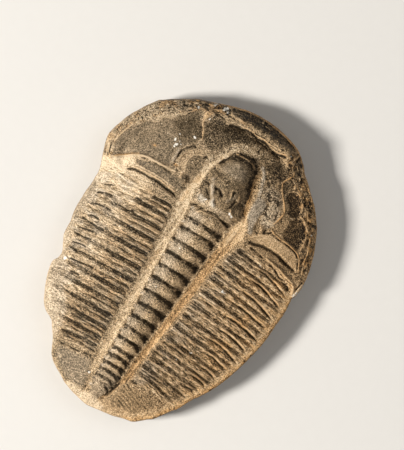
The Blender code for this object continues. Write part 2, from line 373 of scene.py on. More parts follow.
@dataclass(frozen=True)
class Outline:
    """The stone's rim seen from above, in four runs that meet at its corners."""

    front: tuple[Point, ...] = (-12+13.4j, -11+14.15j, -10+14.8j, -9+15.45j, -8+16j, -7+16.35j,
        -5+17.1j, -3+17.7j, -1+17.87j, 1+17.7j, 3+17.25j, 4+16.8j, 4.8+16.2j, 5.3+15.75j, 6+14.95j,
        7+14.15j, 8.2+13.1j, 8.7+12.6j)
    right: tuple[Point, ...] = (8.7+12.6j, 9.8+11.3j, 10.6+10j, 11.5+8j, 12.1+5.8j, 12.25+4.6j,
        12.2+3.4j, 12.05+3j, 11.92+2.75j, 12.05+2.3j, 12.15+1j, 12.05-1j, 11.95-3j, 11.6-5j,
        11.2-6.8j, 10.8-8.2j, 10.2-9.8j, 9.5-11.2j, 8.6-12.6j, 8-14j, 7.4-14.75j, 6.8-15.7j,
        6.2-16.5j)
    left: tuple[Point, ...] = (-12+13.4j, -13+11.95j, -14+10j, -14.5+8.4j, -14.7+7.3j, -14.5+6.3j,
        -14.2+5.4j, -13.8+4.4j, -13.5+3.5j, -13.4+2j, -13.45+0.5j, -13.4-1.5j, -13.1-3j, -13-4.4j,
        -12.5-5.5j, -12.1-6.15j, -12.02-6.7j, -12.12-7.1j, -12.4-7.6j, -12.3-8.5j, -11.9-9.8j,
        -11.4-11j, -10.8-12.05j, -10.1-12.75j, -9.5-13.03j, -9.1-13.2j, -8.5-14j, -7.8-15j,
        -7.1-16.4j)
    rear: tuple[Point, ...] = (-7.1-16.4j, -6.4-17.05j, -5-17.8j, -4.2-18.25j, -3-18.65j,
        -1.6-18.95j, -0.6-19.05j, 0.6-18.85j, 2.2-18.6j, 3.4-18.2j, 4.5-17.95j, 5.3-17.25j,
        6.2-16.5j)

    def ring(self) -> Array:
        """The whole rim as one loop, clockwise from the front-left corner."""
        runs = [smooth_path(run) for run in (self.front, self.right, self.rear, self.left)]
        return np.vstack([runs[0][:-1], runs[1][:-1], runs[2][::-1][:-1], runs[3][::-1][:-1]])

    def sides(self, station: Array) -> tuple[Array, Array]:
        """x of the left and of the right rim at each station along the body."""
        left, right = smooth_path(self.left)[::-1], smooth_path(self.right)[::-1]
        return (np.interp(station, left[:, 1], left[:, 0]),
                np.interp(station, right[:, 1], right[:, 0]))

    def bulge(self, run: tuple[Point, ...], share: Array) -> Array:
        """How far an end run stands off the straight line between its corners."""
        curve = smooth_path(run)
        (x0, y0), (x1, y1) = curve[0], curve[-1]
        return np.interp(x0 + share * (x1 - x0), curve[:, 0], curve[:, 1]) - y0 - share * (y1 - y0)

    def plan(self, u: Array, v: Array) -> tuple[Array, Array]:
        """Spread a square over the stone.

        Args:
            u: Place across the body, -1 at the left rim and 1 at the right rim.
            v: Place along the body, -1 at the rear rim and 1 at the front rim.

        Returns:
            The plan positions x and y, millimetres.
        """
        share = (u + 1.0) / 2.0
        ahead = (v + 1.0) / 2.0
        left_y, right_y = (run[-1].imag + (run[0].imag - run[-1].imag) * ahead
                           for run in (self.left, self.right))
        left, _ = self.sides(left_y)
        _, right = self.sides(right_y)
        x = left + (right - left) * share
        y = left_y + (right_y - left_y) * share
        for run, toward_end, reach in ((self.front, ahead, 0.6), (self.rear, 1.0 - ahead, 0.45)):
            fade = np.clip(toward_end - 1.0 + reach, 0.0, 1.0) / reach
            y += self.bulge(run, share) * fade ** 1.5
        return x, y

    def inset(self, x: Array, y: Array, batch: int = 8192) -> Array:
        """Distance of plan points from the rim, worked out in batches."""
        ring = self.ring()
        loop = np.vstack([ring, ring[:1]])
        return np.concatenate([path_distance(loop, x[k:k + batch], y[k:k + batch])[0]
                               for k in range(0, len(x), batch)])


@dataclass(frozen=True)
class Dome:
    """The broad vault of the back, from the rim up to the ribs' flat inner halves."""

    rim: float = 2.8
    top: float = 5.1
    reach: float = 8.5
    body_fall: float = 1.45
    head_fall: float = 2.1
    swell: float = 0.07

    def shape(self, relief: Relief) -> None:
        """Raise the vault, with slow swells from its long time in the rock."""
        fall = self.body_fall + (self.head_fall - self.body_fall) * ease((relief.y - 3.0) / 8.0)
        rise = 1.0 - (1.0 - np.clip(relief.edge / self.reach, 0.0, 1.0)) ** fall
        relief.height += self.rim + (self.top - self.rim) * rise
        inland = ease(relief.edge / 1.5)
        relief.height += self.swell * inland * Grain(41).layers(relief.x, relief.y, 3.0)


@dataclass(frozen=True)
class Axis:
    """The ringed middle lobe, its glabella and the filled furrows beside them."""

    # y, then x of the left furrow's outer and inner edge and the right one's inner and outer
    stations: tuple[tuple[float, ...], ...] = (
        (-19.0, -1.6, -1.2, -0.3, 0.1), (-17.9, -1.7, -1.3, -0.2, 0.3),
        (-16.5, -2.3, -1.7, 0.55, 0.9), (-15.5, -2.65, -1.85, 0.8, 1.2),
        (-14.0, -3.0, -1.9, 0.95, 1.9), (-12.0, -3.1, -1.9, 0.95, 1.95),
        (-10.0, -3.3, -2.0, 1.1, 2.05), (-8.0, -3.4, -2.05, 1.3, 2.3),
        (-6.0, -3.5, -2.2, 1.4, 2.5), (-4.0, -3.45, -2.4, 1.5, 2.6),
        (-2.0, -3.6, -2.5, 1.6, 2.8), (0.0, -3.8, -2.6, 1.65, 2.9),
        (2.0, -4.0, -2.7, 1.8, 3.1), (4.0, -4.35, -2.7, 1.9, 3.7),
        (5.0, -4.6, -2.9, 1.95, 4.3), (6.2, -4.6, -3.05, 2.2, 3.9), (7.2, -4.4, -3.25, 2.6, 3.3),
        (8.5, -4.15, -3.15, 2.15, 2.75), (9.5, -4.05, -3.1, 2.0, 2.6),
        (10.8, -3.9, -2.85, 1.6, 2.3), (12.0, -3.3, -2.2, 1.3, 1.8),
        (13.3, -2.2, -0.9, 0.5, 1.3), (18.0, -2.2, -0.9, 0.5, 1.3))
    heights: tuple[Pair, ...] = (
        (-18.0, 0.0), (-17.5, 0.2), (-16.0, 0.45), (-12.0, 0.7), (-4.0, 0.95), (4.4, 1.05),
        (5.85, 0.95), (7.5, 1.2), (10.0, 1.35), (12.0, 1.0), (12.9, 0.5), (13.4, 0.0))
    furrows: tuple[float, ...] = (
        5.85, 4.35, 3.2, 1.6, 0.1, -1.5, -3.05, -4.65, -6.2, -7.75, -9.2, -10.5, -11.8, -12.65,
        -13.6, -14.5, -15.3, -16.05)
    ring_depth: float = 0.30
    fill_depth: float = 0.10
    neck: float = 5.4

    def bounds(self, y: Array) -> tuple[Array, ...]:
        """x of the four furrow edges at y, from left to right."""
        table = np.array(self.stations)
        return tuple(np.interp(y, table[:, 0], table[:, i]) for i in range(1, 5))

    def shape(self, relief: Relief) -> None:
        """Raise the lobe, sink the furrows beside it and fill them with sediment."""
        x, y = relief.waver_x, relief.waver_y
        outer_left, left, right, outer_right = self.bounds(y)
        centre, half = (left + right) / 2.0, (right - left) / 2.0
        off = np.abs(x - centre) / half
        levels = np.array(self.heights)
        height = np.interp(y, levels[:, 0], levels[:, 1])
        relief.height += height * np.cos(0.5 * math.pi * np.clip(off, 0.0, 1.0) ** 1.2) ** 1.3
        self.cut_rings(relief, y, off, height)
        lobe = ease((1.0 - off) / 0.2) * ease((self.neck - y) / 0.3)
        relief.rough -= 0.05 * lobe
        relief.height += 0.07 * lobe * Grain(49).layers(x, y, 0.55)
        relief.tone += 0.10 * lobe * Grain(51).layers(x, y, 0.6, 2)
        relief.tone += lobe * np.interp(y, (-13.5, -11.5, -8.5, -6.0, -3.5, -1.0, 1.5),
                                        (0.0, 0.05, -0.08, -0.12, -0.05, -0.06, 0.05))
        relief.tone -= 0.06 * lobe * ease((y - 4.4) / 0.4)
        # painted sheen: the lobe's left side, which faces the key lamp, is tinted pale grey; the
        # tail's axis is tinted grey too
        relief.at_least(cool=lobe * np.maximum(
            0.55 * ease((centre + 0.3 - x) / 1.5), 0.45 * ease((-13.5 - y) / 1.5)))
        beside = np.where(x < centre, (x - outer_left) / (left - outer_left),
                          (outer_right - x) / (outer_right - right))
        band = ease(beside / 0.25) * ease((1.0 - beside) / 0.15) * ease(height / 0.35)
        trough = np.sin(math.pi * np.clip(beside, 0.0, 1.0)) * ease(height / 0.7)
        relief.height -= self.fill_depth * trough * (off > 1.0)
        relief.height += 0.06 * band * Grain(47).layers(x, y, 0.4)
        on_right = (x > centre).astype(float)
        relief.toward(0.76, 0.95 * band)
        relief.tone += band * np.interp(y, (-13.0, -9.5, -7.0, -3.0, 3.5, 5.0),
                                        (-0.17, 0.0, 0.04, 0.0, 0.0, 0.11))
        relief.tone -= band * on_right * np.interp(y, (-10.0, -4.0, 0.0, 3.0, 5.0),
                                                   (0.11, 0.16, 0.20, 0.08, 0.0))
        relief.at_least(rust=band * on_right * np.interp(y, (2.5, 5.0), (0.42, 0.22)))
        scored = Grain(43).layers(x - 0.1 * y, y, 2.0, 2, stretch=0.09)
        relief.tone += (0.22 + 0.08 * on_right) * scored * band
        for mask in (relief.fibre, relief.crack, relief.crest):
            mask *= 1.0 - band
        relief.rough += (0.50 - relief.rough) * band
        relief.at_least(rust=0.28 * band * ease(Grain(53).layers(x, y, 0.8)))

    def cut_rings(self, relief: Relief, y: Array, off: Array, height: Array) -> None:
        """Round each ring, cut the furrow in front of it, and paint shade on the ring's front part
        and light on its rear part.

        Args:
            relief: The surface to cut.
            y: Wavering positions along the body.
            off: Distance from the lobe's middle, 1 at its edge.
            height: Height of the lobe there.
        """
        on_lobe = ease((1.02 - off) / 0.12) * ease(height / 0.6)
        arched = y - 0.12 * (1.0 - np.clip(off, 0.0, 1.0) ** 2)
        for front, rear in zip(self.furrows, self.furrows[1:]):
            phase = np.clip((front - arched) / (front - rear), 0.0, 1.0)
            within = on_lobe * (phase > 0.0) * (phase < 1.0)
            groove = (0.5 + 0.5 * np.cos(2.0 * math.pi * phase ** 0.7)) ** 1.6
            relief.height -= self.ring_depth * groove * within
            shade = ease(1.0 - phase / 0.6) * (0.7 + 0.9 * Grain(59).layers(relief.x, y, 0.6))
            shade *= min(1.0, (front - rear) / 1.5)
            # painted shade on the front part of each ring, just behind its furrow, and painted
            # light on its paler rear part
            relief.toward(0.24, 0.8 * shade * within)
            relief.toward(0.62, 0.65 * ease((phase - 0.4) / 0.3) * within)
            line = stripe(front - arched, 0.19, 0.26, 4) * on_lobe * ease((self.neck - y) / 0.3)
            relief.at_least(
                crack=0.56 * line * (1.0 + 1.3 * Grain(63).layers(relief.x, y, 0.4, 3)))
            relief.crumble_up(0.75 * line, 61)

    def marks(self) -> list[Line]:
        """Dark furrow of each ring, deepest in the pit at its right end, where a shadow is painted,
        and a pale grey highlight painted at its left end.
        """
        lines = []
        for y in self.furrows[1:]:
            left, right = (float(edge) + y * 1j for edge in self.bounds(np.array(y))[1:3])
            thin = 0.75 if y < -12.0 else 1.0
            lines += [
                Line((left + 0.15-0.03j, left + 0.9, right - 1.3+0.03j, right - 0.6-0.08j,
                      right - 0.2-0.3j), 0.11 * thin, -0.1, INK, 0.45, 1.0),
                Line((right - 0.9-0.1j, right - 0.45-0.25j, right - 0.25-0.5j), 0.19 * thin, -0.14),
                Line((right - 0.3-0.3j, right - 0.2-0.75j), 0.17 * thin, -0.14, INK, 1.0),
                Line((left + 0.1-0.45j, left + 0.25-0.95j), 0.25, 0.05, BUFF, 0.5, cool=0.8)]
        return lines


@dataclass(frozen=True)
class Flank:
    """The ribs on one side: in each segment a broad furrow, and a thin joint behind it."""

    side: int
    furrows: tuple[float, ...]
    joints: tuple[float, ...]
    furrow_slope: float
    joint_slope: float
    joint_turn: float
    joint_droop: float
    # distance out from the axis, then how dark the furrows and the joints are there: dark shell,
    # with painted shade added in the furrows
    darkness: tuple[tuple[float, ...], ...]
    inner: float = 3.0
    ridge: float = 0.17
    gleam: float = 0.55
    grit: float = 0.52
    inked: float = 0.95
    widths: Pair = (0.25, 0.22)
    fill: Pair = (0.24, 0.85)
    # y behind which the grooves sweep back, and the length over which that sets in
    sweep_from: float = -11.9
    sweep_blend: float = 1.05
    # where the joints start, then how much of their droop they have there
    droops: tuple[tuple[float, ...], ...] = ((0.0,), (1.0,))

    def groove_y(self, start: float, out: Array, furrow: bool) -> Array:
        """Follow a furrow or a joint outward.

        Args:
            start: y at which the groove starts.
            out: Distances out from the datum line.
            furrow: Whether it is a furrow, and not a joint.

        Returns:
            y of the groove at those distances.
        """
        slope, sweep = (self.furrow_slope, 0.032) if furrow else (self.joint_slope, 0.03)
        late = sweep * float(ease(np.array((self.sweep_from - start) / self.sweep_blend)))
        beyond = np.clip(out - self.inner, 0.0, None)
        y = start - slope * beyond - late * beyond ** 2
        if not furrow:
            turned = np.clip(out - self.joint_turn, 0.0, None)
            y -= self.joint_droop * np.interp(start, *self.droops) * turned ** 1.25
        return y

    def shape(self, relief: Relief, inner_edge: Array, seed: int) -> None:
        """Raise a ridge between every two grooves, then cut the grooves and darken them with dark
        shell and painted shade, with a painted highlight along the lit edge in front of each
        furrow.

        Args:
            relief: The surface to shape.
            inner_edge: Distance out at which the ribs start.
            seed: Seed of this flank's unevenness.
        """
        out = self.side * relief.waver_x
        y = relief.waver_y
        on_flank = ease((out - inner_edge) / 0.35) * ease((relief.edge - 0.35) / 1.1)
        lines = []
        for furrow, joint in zip(self.furrows, self.joints):
            lines += [(self.groove_y(furrow, out, True), True),
                      (self.groove_y(joint, out, False), False)]
        table = np.array(self.darkness).T
        furrow_dark, joint_dark = (np.interp(out, table[0], dark) for dark in table[1:])
        for (front, _), (rear, _) in zip(lines, lines[1:]):
            phase = np.clip((front - y) / np.maximum(front - rear, 0.05), 0.0, 1.0)
            relief.height += self.ridge * np.sin(math.pi * phase) ** 0.9 * on_flank
        for number, (line, broad) in enumerate(lines):
            patchy = 1.0 + 0.50 * Grain(seed + number).layers(out, y, 0.5, 3, stretch=2.2)
            off = y - line
            if broad:
                dark = np.clip(furrow_dark * patchy, 0.0, 1.0) * on_flank
                width = np.interp(out, (5.5, 7.5), self.widths)
                doubled = width / self.widths[0]
                if number == 0 and self.side < 0:  # the first left furrow is short and thin
                    dark, width, doubled = dark * (out < 6.8), 0.6 * width, 0.0
                band = stripe(off, -0.06, width, 4) * dark
                steady = np.clip(furrow_dark * (0.45 + 0.55 * patchy), 0.0, 1.0) * (dark > 0.0)
                front = stripe(off, 0.10, 0.10) * steady * on_flank
                back = stripe(off, -0.20, 0.09) * steady * on_flank * doubled
                relief.height -= 0.13 * band + 0.05 * front
                relief.toward(self.fill[0], self.fill[1] * band)
                relief.rough += 0.35 * band
                cracks = np.maximum(np.maximum(self.inked * front, 0.62 * back), self.grit * band)
                lit = stripe(off, 0.33, 0.11) * dark
                relief.at_least(crack=cracks, crest=0.50 * lit)
                continue
            swell = np.interp(out, (7.0, 9.0), (1.0, 1.3))
            mark = stripe(off, 0.0, 0.11 * swell) * joint_dark * patchy * on_flank
            pale = stripe(off, 0.20 * swell, 0.12 * swell) * joint_dark * on_flank
            relief.height += 0.05 * pale - 0.10 * mark
            relief.at_least(crest=self.gleam * pale, crack=0.95 * mark)


@dataclass(frozen=True)
class Thorax:
    """The thirteen segments' ribs, left and right, and the worn margins outside them."""

    left: Flank = Flank(
        -1, (4.3, 3.1, 1.6, 0.12, -1.55, -3.2, -4.85, -6.35, -7.85, -9.3, -10.72, -11.92, -12.95),
        (3.8, 2.3, 0.8, -0.85, -2.45, -4.05, -5.65, -7.12, -8.5, -9.95, -11.22, -12.4, -13.5),
        0.062, 0.05, 8.0, 0.1,
        ((3.0, 1.0, 0.85), (6.6, 0.95, 0.75), (7.8, 0.75, 0.15), (9.5, 0.60, 0.0),
         (10.8, 0.5, 0.0), (11.8, 0.2, 0.0), (12.3, 0.0, 0.0)), 4.0)
    right: Flank = Flank(
        1, (4.25, 2.95, 1.65, 0.1, -1.5, -3.22, -4.8, -6.3, -7.85, -9.3, -10.62, -12.0, -12.9),
        (3.65, 2.25, 0.68, -0.9, -2.5, -4.1, -5.6, -7.1, -8.6, -10.0, -11.3, -12.45, -13.45),
        0.088, 0.03, 8.0, 0.2,
        ((2.0, 0.9, 0.6), (5.0, 0.9, 0.6), (6.5, 0.8, 0.3), (7.6, 0.85, 0.95),
         (10.6, 0.85, 1.0), (11.4, 0.2, 0.6), (12.0, 0.0, 0.0)), gleam=1.15,
        grit=0.36, inked=0.74, widths=(0.22, 0.15), fill=(0.36, 0.70),
        droops=((-5.6, -4.1, -2.5, -0.9, 0.7, 2.2), (0.9, 0.75, 0.45, 0.50, 0.85, 1.0)))

    def shape(self, relief: Relief, axis: Axis) -> None:
        """Shape both flanks behind the head shield, with striped grain along the ribs."""
        x, y = relief.waver_x, relief.waver_y
        outer_left, _, _, outer_right = axis.bounds(y)
        behind_head = ease((4.75 - y) / 0.4) * ease((y + 14.3) / 0.6)
        striped = Grain(61).layers(x, y + 0.075 * np.abs(x), 0.25, 2, stretch=7.0)
        beside = ease(np.maximum(outer_left - x, x - outer_right) / 0.3) * behind_head
        relief.at_least(fibre=beside * ease(relief.edge / 1.2) * np.interp(
            x, (-10.0, -7.5, 0.0, 3.0), (0.42, 0.40, 0.40, 0.58)))
        relief.rough += (0.30 - relief.rough) * beside
        pale_outside = np.interp(x, (-9.5, -7.0, 7.0, 9.5), (0.13, 0.0, 0.0, 0.13))
        relief.tone += ((0.11 + 0.08 * ease(x / 2.0)) * striped + 0.03 + pale_outside
                        + 0.05 * ease(x / 4.0) - 0.03 * ease((-7.0 - y) / 3.0)) * beside
        relief.height += 0.05 * striped * beside * ease(relief.edge)
        dull = ease(0.55 + 1.6 * Grain(62).layers(x, y, 0.5, 3, stretch=2.5)) * beside
        warm = np.interp(x, (-9.0, -7.5, 2.0, 5.0, 8.0), (0.0, 0.14, 0.14, 0.15, 0.42))
        relief.at_least(rust=warm * (1.0 - dull) * beside, cool=dull * np.interp(
            x, (-10.0, -7.5, 3.0, 5.0, 8.0), (0.60, 0.12, 0.6, 0.3, 0.0)))
        self.left.shape(relief, -outer_left, 100)
        self.right.shape(relief, outer_right, 200)
        self.wear(relief, x, y)

    def wear(self, relief: Relief, x: Array, y: Array) -> None:
        """Cover the outer left flank and the right margin with tan, smoothed stone."""
        rough = 0.5 * Grain(67).layers(x, y, 1.2)
        limit = np.interp(y, (-14.0, -11.0, -8.5, -6.0, 0.0, 5.0),
                          (-7.2, -7.7, -9.9, -11.5, -12.3, -12.0))
        left_tan = ease((limit - x + rough) / 0.9)
        tan = np.interp(y, (-12.5, -10.5, -9.0, -5.5, -2.5, 1.0),
                        (0.68, 0.76, 0.58, 0.74, 0.63, 0.60))
        tan -= 0.08 * ease((-12.4 - x) / 0.5)
        relief.tone += (tan - relief.tone) * 0.8 * left_tan
        relief.at_least(cool=0.55 * left_tan)
        upper_left = ease((-7.6 - x + rough) / 0.8) * ease((y - 1.9) / 0.5)
        relief.toward(0.84, 0.75 * upper_left)
        relief.crack *= 1.0 - 0.8 * upper_left
        right_tan = ease((1.25 - relief.edge + 0.5 * rough) / 0.5) * (x > 0) * ease((2.4 - y) / 0.5)
        relief.toward(0.70, 0.75 * right_tan)


LEFT_FLANK_EDGES = (
    (-12.3+1.22j, -11.7+1.45j, -11+1.72j, -10.3+1.85j),
    (-12.3-0.1j, -11.6+0.12j, -11+0.27j, -9.8+0.4j),
    (-11.7-1.42j, -11.4-1.2j, -11.1-1.1j, -10.4-1.18j),
    (-12-3.1j, -11.4-2.9j, -10.8-2.75j, -9.5-2.6j),
    (-11.8-4.8j, -11.2-4.62j, -10.7-4.48j, -9.8-4.45j),
    (-11-6.4j, -10.2-6.3j, -9.3-6.15j, -8-5.95j),
    (-10.2-7.6j, -9.6-7.5j, -8.8-7.4j),
    (-12.2-1.9j, -11.3-1.95j, -10.4-1.98j, -9.2-1.95j),
    (-11.9-3.75j, -11.2-3.72j, -10.2-3.6j),
    (-11.6-5.3j, -10.9-5.32j, -10-5.2j, -9.2-5.12j),
)

LEFT_FLANK_STREAKS = (
    # painted shade: a soft dark band just below each step edge on the outer left flank
    *(Line(tuple(point - 0.17j for point in points), 0.26, -0.04, WORN, 0.65, 0.5,
        soft=True) for points in LEFT_FLANK_EDGES),
    *(Line(points, 0.09, -0.12, SHELL, 0.9, 0.4) for points in LEFT_FLANK_EDGES),
    *(Line(points, 0.1, 0.06, CREAM, 0.55, 0.4) for points in ((-12.2+2.6j, -11.5+2.92j,
        -10.9+3.2j), (-12.3+1.45j, -11.6+1.72j, -10.4+2.1j), (-12.2+0.12j, -11.4+0.42j, -10+0.62j),
        (-11.9-2.85j, -11-2.55j, -9.6-2.4j), (-11.6-4.5j, -10.9-4.28j, -9.9-4.22j), (-11.9-1.1j,
        -11.3-0.88j, -10.4-0.9j))),
    Line((-8.45+3j, -7.9+3.03j, -7.4+3.08j), 0.07, -0.14),
    Line((-8.25+1.57j, -7.8+1.57j, -7.5+1.6j), 0.06, -0.16),
    Line((-7.7-1.65j, -7.2-1.63j, -6.7-1.66j), 0.07, -0.16),
    Line((-12.25+2.35j, -11.5+2.65j, -10.8+2.98j), 0.1, -0.08, SHELL, 0.7),
    Line((-9.2+2.6j, -8.4+2.66j, -7.6+2.62j), 0.14, -0.05, SLATE, 0.6),
    Line((-10.8+4.6j, -9.5+4.72j, -8.3+4.9j, -7.3+5.2j, -5+5.12j), 0.1, 0.08, CREAM, 0.6),
    Line((-11.4+4.25j, -10.2+4.35j, -8.8+4.42j), 0.15, -0.06, SLATE, 0.7),
    Line((-9.9-9.75j, -9.2-9.75j, -8.6-9.78j), 0.05, 0.04, CREAM, 1.0),
)

TAIL_LINES = (
    Line((1-14.8j, 0.8-15.6j, 0.65-16.3j, 0.45-17j, 0.3-17.7j), 0.13, -0.22, INK, 0.75, 0.6),
    Line((-2.3-16.2j, -2.1-16.8j, -1.9-17.5j), 0.07, -0.08, SHELL, 0.6, 0.8, 0.3),
    Line((-2.85-14.12j, -4-14.3j, -5.5-14.55j, -7.2-14.8j), 0.09, -0.1, INK, 0.7, 0.7),
    Line((-2.8-15.35j, -4.3-15.65j, -6-16j), 0.06, -0.06, SHELL, 0.55, 0.7),
    Line((-3.2-13.75j, -5-13.85j, -6.5-14.3j, -7.5-14.55j), 0.12, 0.1, SEDIMENT, 0.6),
    Line((1.9-14j, 2.3-14.1j, 2.8-13.95j), 0.1, -0.12),
    Line((2-12.5j, 4-12.35j, 5.5-12.62j, 7.6-13.05j), 0.08, 0.1, CREAM, 0.7, 0.4),
    Line((2-13.5j, 3.6-13.42j, 5-13.75j, 6.4-14.3j), 0.08, 0.1, CREAM, 0.7, 0.4),
    Line((5.2-16.1j, 5.1-16.6j, 4.7-16.9j, 4.6-17.2j, 4.2-17.15j), 0.07, 0.06, CREAM, 0.8),
    Line((6-14.9j, 5.85-15.2j, 6.1-15.5j, 6.4-15.35j), 0.07, 0.06, CREAM, 0.7),
    Line((3.7-17j, 3.4-17.4j, 3.5-17.8j), 0.06, 0.05, CREAM, 0.6),
    Line((-6.6-16j, -6.45-15.85j, -6.1-15.85j, -5.95-16.1j, -6.2-16.35j), 0.05, 0.03, CREAM, 0.6),
)

TAIL_PATCHES = (
    Patch((-3-14.5j, -6.8-15.1j, -6.3-16.4j, -4.6-17.5j, -2.4-17.8j, -2.4-16j), SLATE, 0.6, 0.4,
        0.12, 0.04, 0.0, 0.45, 0.2),
    Patch((1.3-14.9j, 4.8-15.6j, 4.4-16.8j, 2.6-17.8j, 0.6-18.1j, 0.8-16.5j), WORN, 0.5, 0.4, 0.12,
        0.04, rough=0.2),
    Patch((-3.9-17.95j, -2.4-17.85j, -1-17.75j, 0.4-18j, 1-18.5j, -0.6-19.1j, -2.5-18.9j,
        -4.1-18.4j), CREAM, 0.72, 0.3, cool=0.35),
)

